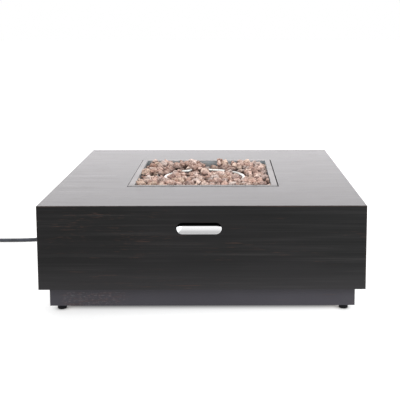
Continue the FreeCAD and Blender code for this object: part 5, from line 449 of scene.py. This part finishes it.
def rubber(name, colour):
    m = Mat(name)
    c = m.coords()
    grain = m.noise(c, 700.0, 2.0, 0.5)
    cloud = m.noise(c, 26.0, 4.0, 0.6)
    col = m.mix(m.remap(cloud, 0.35, 0.7), colour, tuple(v * 1.8 + 0.006 for v in colour))
    scuff = m.noise(m.scaled(c, (1.0, 1.0, 3.0)), 120.0, 3.0, 0.6)
    col = m.mix(m.math("MULTIPLY", m.remap(scuff, 0.60, 0.72), 0.35), col, (0.12, 0.12, 0.125))
    r = m.remap(cloud, 0.3, 0.7, 0.30, 0.44, smooth=False)
    return m.out(color=col, rough=r, normal=m.bump(grain, 0.12, 0.0002))


def timber(name):
    m = Mat(name)
    c = m.coords()
    rings = m.noise(m.scaled(c, (2.0, 40.0, 40.0)), 4.0, 4.0, 0.6, 0.4)
    pores = m.noise(m.scaled(c, (12.0, 300.0, 300.0)), 3.0, 3.0, 0.6)
    col = m.ramp(rings, [(0.3, (0.16, 0.095, 0.050)), (0.5, (0.30, 0.195, 0.11)), (0.7, (0.42, 0.29, 0.17))])
    col = m.mix(m.math("MULTIPLY", m.remap(pores, 0.55, 0.7), 0.5), col, (0.10, 0.06, 0.035))
    return m.out(color=col, rough=m.remap(rings, 0.3, 0.7, 0.62, 0.8), normal=m.bump(pores, 0.3, 0.0004))


def ceramic(name):
    m = Mat(name)
    c = m.coords()
    cloud = m.noise(c, 60.0, 3.0, 0.5)
    z = m.split(c)[2]
    soot = m.math("MULTIPLY", m.remap(z, 0.318, 0.338), m.remap(cloud, 0.35, 0.65, 0.4, 0.9))
    col = m.mix(soot, (0.72, 0.69, 0.62), (0.22, 0.18, 0.15))
    return m.out(color=col, rough=m.remap(cloud, 0.3, 0.7, 0.3, 0.45), normal=m.bump(cloud, 0.08, 0.0003))


# ------------------------------------------------------------------ lava rock
def lava(name):
    m = Mat(name)
    c = m.coords()
    own = m.geo("Random Per Island")
    c = m.put("ShaderNodeVectorMath", operation="ADD")
    m.set(c.inputs[0], m.coords())
    m.set(c.inputs[1], m.join(m.math("MULTIPLY", own, 3.1), m.math("MULTIPLY", own, 7.7), own))
    c = c.outputs[0]
    tone = m.ramp(own, [
        (0.00, (0.640, 0.440, 0.370)), (0.14, (0.340, 0.180, 0.130)), (0.30, (0.740, 0.545, 0.470)), (0.46, (0.470, 0.285, 0.225)),
        (0.60, (0.640, 0.540, 0.495)), (0.74, (0.270, 0.155, 0.130)), (0.87, (0.660, 0.480, 0.370)), (1.00, (0.800, 0.640, 0.575))])
    big = m.noise(c, 45.0, 4.0, 0.6)
    small = m.noise(c, 240.0, 4.0, 0.65)
    pores = m.cells(c, 330.0)
    holes = m.cells(c, 150.0)
    col = m.mix(m.remap(big, 0.38, 0.56), m.mix(0.62, tone, (0.130, 0.062, 0.050)), tone)
    # painted highlights: small light flecks over the rock
    col = m.mix(m.math("MULTIPLY", m.remap(small, 0.52, 0.64), 0.66), col, (0.86, 0.73, 0.65))
    # painted shade: the pores and holes are painted near black, standing in for the shade inside them
    pit = m.math("MAXIMUM", m.remap(pores, 0.30, 0.12), m.remap(holes, 0.26, 0.10))
    col = m.mix(m.math("MULTIPLY", pit, 0.80), col, (0.040, 0.018, 0.014))
    # painted shade: darker down in the bed, where the rocks shade each other
    bed_shade_depth = m.math("ADD", m.split(m.coords())[2], m.math("MULTIPLY", m.math("SUBTRACT", big, 0.5), 0.012))
    col = m.mix(m.remap(bed_shade_depth, 0.342, 0.322, 0.0, 0.85), col, (0.075, 0.042, 0.036))
    # painted shade: darker towards the front flange, where the top's lip shades the rocks
    col = m.mix(m.remap(m.split(m.coords())[1], -0.150, -0.212, 0.0, 0.34), col, (0.060, 0.034, 0.029))
    height = m.math("SUBTRACT", m.math("ADD", m.math("MULTIPLY", small, 0.7), m.math("MULTIPLY", big, 0.5)), m.math("MULTIPLY", pit, 0.9))
    return m.out(color=col, rough=m.remap(small, 0.3, 0.7, 0.82, 0.97), ior=1.4, normal=m.bump(height, 0.75, 0.0011))


MAT = {
    "paint": brushed_paint("brushed_dark_paint", 0.37),
    "plinth": brushed_paint("brushed_dark_paint_plinth", 0.9, (0.0535, 0.0505, 0.0600), True),
    "pan": pan_steel("brushed_pan_steel"),
    "box": steel("brushed_box_steel", (0.55, 0.56, 0.58), 0.27, (90.0, 3.0, 90.0), 0.12),
    "bright": pull_steel("bright_steel_painted_shading"),
    "ring": steel("burner_steel", (0.66, 0.655, 0.63), 0.24, (20.0, 20.0, 60.0), 0.10, (0.40, 0.31, 0.22), 0.08),
    "pipe": steel("pipe_steel", (0.50, 0.50, 0.50), 0.38, (60.0, 60.0, 60.0), 0.2, (0.25, 0.20, 0.16)),
    "zinc": steel("zinc_steel", (0.60, 0.61, 0.62), 0.34, (80.0, 80.0, 80.0), 0.15, (0.42, 0.40, 0.34)),
    "brass": steel("yellow_brass", (0.72, 0.50, 0.22), 0.26, (50.0, 50.0, 50.0), 0.12, (0.38, 0.24, 0.12)),
    "copper": steel("lead_copper", (0.74, 0.38, 0.24), 0.32, (50.0, 50.0, 50.0), 0.12, (0.30, 0.16, 0.10)),
    "alloy": steel("cast_alloy", (0.46, 0.47, 0.48), 0.42, (70.0, 70.0, 70.0), 0.35),
    "knob": turned_knob("turned_alloy"),
    "dial": dial_face("dial_plate"),
    "black": plastic("black_plastic", (0.010, 0.010, 0.011), 0.38),
    "feet": plastic("foot_plastic", (0.003, 0.003, 0.0045), 0.50, dust=(0.010, 0.010, 0.012), spec=0.14),
    # painted shade: the pull pockets are near black, darker than the other black plastic, standing in for the deep
    # shade behind the pulls
    "pocket": plastic("pocket_plastic_painted_shade", (0.0015, 0.0015, 0.0015), 0.70, dust=(0.012, 0.012, 0.012), spec=0.12),
    "button": plastic("button_plastic", (0.012, 0.012, 0.013), 0.22, 400.0, 0.03),
    "rubber": rubber("hose_rubber", (0.022, 0.025, 0.034)),
    "lead": rubber("lead_rubber", (0.015, 0.015, 0.016)),
    "wood": timber("pine"),
    "ceramic": ceramic("ceramic"),
    "lava": lava("lava_rock"),
}
paint_on(["surround_shell"], MAT["paint"])
paint_on(["plinth"], MAT["plinth"])
paint_on(["burner_pan", "electrode_bracket"], MAT["pan"])
paint_on(["control_recess", "recess_screws"], MAT["box"])
paint_on(["dial_ring"], MAT["dial"])
paint_on(["front_pull", "rear_pull"], MAT["bright"])
paint_on(["burner_ring"], MAT["ring"])
paint_on(["burner_nipple", "air_mixer", "burner_flex_line", "electrode_tip", "valve_stem", "thermocouple"], MAT["pipe"])
paint_on(["foot_inserts", "plinth_screws", "pocket_screws", "bracket_screws", "burner_locknuts", "igniter_nut", "valve_nut", "regulator_screws",
          "hose_ferrule_valve", "hose_ferrule_bottle"], MAT["zinc"])
paint_on(["orifice_elbow", "valve_body", "valve_rear_plug", "valve_inlet_fitting", "hose_swivel_nut", "valve_collar", "bottle_nipple", "regulator_outlet_nut"], MAT["brass"])
paint_on(["thermocouple_lead"], MAT["copper"])
paint_on(["regulator_body", "regulator_bonnet"], MAT["alloy"])
paint_on(["control_knob"], MAT["knob"])
paint_on(["foot_front_left", "foot_front_right", "foot_rear_left", "foot_rear_right"], MAT["feet"])
paint_on(["hose_clip", "regulator_vent", "bottle_handwheel", "igniter_body"], MAT["black"])
paint_on(["pull_pockets"], MAT["pocket"])
paint_on(["igniter_button"], MAT["button"])
paint_on(["igniter_lead"], MAT["lead"])
paint_on(["spacer_rails", "corner_blocks"], MAT["wood"])
paint_on(["spark_electrode"], MAT["ceramic"])
paint_on(["lava_rocks", "lava_rocks_lower"], MAT["lava"])
hose.data.materials.append(MAT["rubber"])


# ------------------------------------------------------------------ rocks: rough, pitted forms grown from the CAD solids
def rough_rocks(name, node, cuts, top, seed):
    src = nodes[node].data
    bm = bmesh.new()
    bm.from_mesh(src)
    bmesh.ops.remove_doubles(bm, verts=bm.verts, dist=2e-6)
    bm.verts.ensure_lookup_table()
    low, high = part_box(node)
    seen, groups = set(), []
    for v in bm.verts:
        if v.index in seen:
            continue
        stack, own = [v], []
        seen.add(v.index)
        while stack:
            w = stack.pop()
            own.append(w.co.copy())
            for e in w.link_edges:
                o = e.other_vert(w)
                if o.index not in seen:
                    seen.add(o.index)
                    stack.append(o)
        groups.append(own)
    bm.free()
    out = bmesh.new()
    for gi, own in enumerate(groups):
        one = bmesh.new()
        for co in own:
            one.verts.new(co)
        hull = bmesh.ops.convex_hull(one, input=one.verts)
        bmesh.ops.dissolve_limit(one, angle_limit=math.radians(4), verts=one.verts, edges=one.edges)
        bmesh.ops.triangulate(one, faces=one.faces)
        mid = sum((v.co for v in one.verts), Vector()) / max(1, len(one.verts))
        span = max((v.co - mid).length for v in one.verts)
        bmesh.ops.subdivide_edges(one, edges=one.edges, cuts=cuts, use_grid_fill=True)
        bmesh.ops.smooth_vert(one, verts=one.verts, factor=0.5, use_axis_x=True, use_axis_y=True, use_axis_z=True)
        one.normal_update()
        shift = Vector((gi * 1.37 + seed, gi * 0.71, gi * 2.13))
        for v in one.verts:
            q = v.co * 1.0
            n = v.normal
            a = noise.noise(q * 60.0 + shift)
            b = noise.noise(q * 150.0 + shift)
            r = noise.noise(q * 360.0 + shift)
            cell = noise.voronoi(q * 130.0 + shift)[0][0]
            # broken faces: flat steps that meet in sharp creases
            crease = abs(noise.noise(q * 85.0 + shift * 1.7))
            push = 0.0012 + 0.0034 * a + 0.0016 * b + 0.0009 * r - 0.0034 * max(0.0, 0.14 - crease) / 0.14 - 0.0024 * max(0.0, 0.32 - cell) / 0.32
            v.co = q + n * push * (span / 0.020)
        for v in one.verts:
            v.co.x = min(max(v.co.x, low[0]), high[0])
            v.co.y = min(max(v.co.y, low[1]), high[1])
            v.co.z = min(max(v.co.z, low[2]), top)
        base = len(out.verts)
        made = [out.verts.new(v.co) for v in one.verts]
        one.verts.index_update()
        for f in one.faces:
            out.faces.new([made[v.index] for v in f.verts])
        one.free()
    mesh = bpy.data.meshes.new(name)
    out.to_mesh(mesh)
    out.free()
    for p in mesh.polygons:
        p.use_smooth = True
    mesh.materials.append(MAT["lava"])
    obj = bpy.data.objects.new(name, mesh)
    scene.collection.objects.link(obj)
    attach(obj, "table")
    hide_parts(node)
    return obj


rough_rocks("lava_rock_pieces", "lava_rocks", 6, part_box("lava_rocks")[1][2], 0.3)
rough_rocks("lava_rock_bed_pieces", "lava_rocks_lower", 3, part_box("lava_rocks_lower")[1][2], 5.9)

# ------------------------------------------------------------------ return springs: wound wire in place of the CAD springs
def coil_spring(name, node, wire, turns, still_x):
    low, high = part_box(node)
    cy, cz = (low[1] + high[1]) / 2, (low[2] + high[2]) / 2
    radius = (high[1] - low[1]) / 2 - wire
    far_x = low[0] if abs(high[0] - still_x) < abs(low[0] - still_x) else high[0]
    x0, x1 = (high[0] - wire, low[0] + wire) if far_x == low[0] else (low[0] + wire, high[0] - wire)
    steps, sides = int(turns * 30), 10
    bm = bmesh.new()
    rings = []
    for i in range(steps + 1):
        t = i / steps
        a = 2 * math.pi * turns * t
        # the end turns lie closer together
        along = t + 0.35 * math.sin(2 * math.pi * t) / (2 * math.pi) * -1.0
        at = Vector((x0 + (x1 - x0) * along, cy + radius * math.cos(a), cz + radius * math.sin(a)))
        out = Vector((0, math.cos(a), math.sin(a)))
        rings.append([bm.verts.new(at + (out * math.cos(b) + Vector((1, 0, 0)) * math.sin(b)) * wire) for b in (2 * math.pi * k / sides for k in range(sides))])
    for r0, r1 in zip(rings, rings[1:]):
        for k in range(sides):
            bm.faces.new((r0[k], r0[(k + 1) % sides], r1[(k + 1) % sides], r1[k]))
    bm.faces.new(rings[0][::-1])
    bm.faces.new(rings[-1])
    bmesh.ops.recalc_face_normals(bm, faces=bm.faces)
    mesh = bpy.data.meshes.new(name)
    bm.to_mesh(mesh)
    bm.free()
    for p in mesh.polygons:
        p.use_smooth = len(p.vertices) == 4
    mesh.materials.append(MAT["pipe"])
    obj = bpy.data.objects.new(name, mesh)
    scene.collection.objects.link(obj)
    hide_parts(node)
    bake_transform(obj)
    return obj


coil_spring("valve_spring_coil", "valve_spring", 0.0006, 6.25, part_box("valve_spring")[1][0])
coil_spring("igniter_spring_coil", "igniter_spring", 0.0006, 4.25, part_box("igniter_spring")[1][0])

# ------------------------------------------------------------------ stage and light
floor_mesh = bpy.data.meshes.new("floor")
bm = bmesh.new()
bmesh.ops.create_grid(bm, x_segments=1, y_segments=1, size=30.0)
bm.to_mesh(floor_mesh)
bm.free()
floor = bpy.data.objects.new("floor", floor_mesh)
floor.location = (0, 0, -0.0006)
scene.collection.objects.link(floor)
fm = Mat("floor_white")
# light table floor: white and glowing, with a painted shadow: the glow is dimmed where the object stands close over it,
# fades to dark well under the plinth, and is a little dimmer towards the front left
near = fm.put("ShaderNodeAmbientOcclusion", samples=8)
near.inputs["Distance"].default_value = 0.021
fx, fy, _ = fm.split(fm.coords())
under = fm.math("MINIMUM", fm.math("SUBTRACT", 0.479, fm.math("ABSOLUTE", fx)), fm.math("SUBTRACT", 0.482, fm.math("ABSOLUTE", fy)))
glow = fm.math("MULTIPLY", fm.remap(under, 0.070, 0.018, 0.05, 1.0), fm.math("POWER", near.outputs["AO"], 1.6))
fm.bsdf.inputs["Emission Color"].default_value = (1.0, 1.0, 1.0, 1.0)
fm.set(fm.bsdf.inputs["Emission Strength"], fm.math("MULTIPLY", glow, fm.math("SUBTRACT", 0.86, fm.math("MULTIPLY", fm.remap(fx, 0.7, -0.9), fm.remap(fy, -0.1, -0.6, 0.0, 0.24)))))
floor_mesh.materials.append(fm.out(color=(0.34, 0.34, 0.34), rough=0.8, spec=0.1))

world = bpy.data.worlds.new("studio")
scene.world = world
world.use_nodes = True
bg = next(n for n in world.node_tree.nodes if n.type == "BACKGROUND")
bg.inputs["Color"].default_value = (1.0, 1.0, 1.0, 1.0)
bg.inputs["Strength"].default_value = 1.0


def area(name, at, look, size_x, size_y, power, colour=(1, 1, 1), seen=False):
    data = bpy.data.lights.new(name, "AREA")
    data.shape = "RECTANGLE"
    data.size, data.size_y = size_x, size_y
    data.energy = power
    data.color = colour
    o = bpy.data.objects.new(name, data)
    o.location = at
    o.rotation_euler = (Vector(look) - Vector(at)).to_track_quat("-Z", "Y").to_euler()
    o.visible_camera = seen
    scene.collection.objects.link(o)
    return o


area("overhead", (0, 0.2, 4.0), (0, 0, 0), 5.0, 5.0, 110.0)
area("backdrop", (0, 7.0, 1.8), (0, 0, 0.8), 16.0, 3.4, 340.0, (1.0, 0.962, 0.992))
area("right_front", (3.6, -3.4, 1.3), (0.2, -0.5, 0.2), 2.4, 2.0, 30.0, (0.86, 0.92, 1.0))
area("right_floor", (0.95, -1.45, 0.9), (0.65, -1.2, 0.0), 0.5, 0.5, 6.0, (0.92, 0.96, 1.0))

bpy.context.view_layer.update()
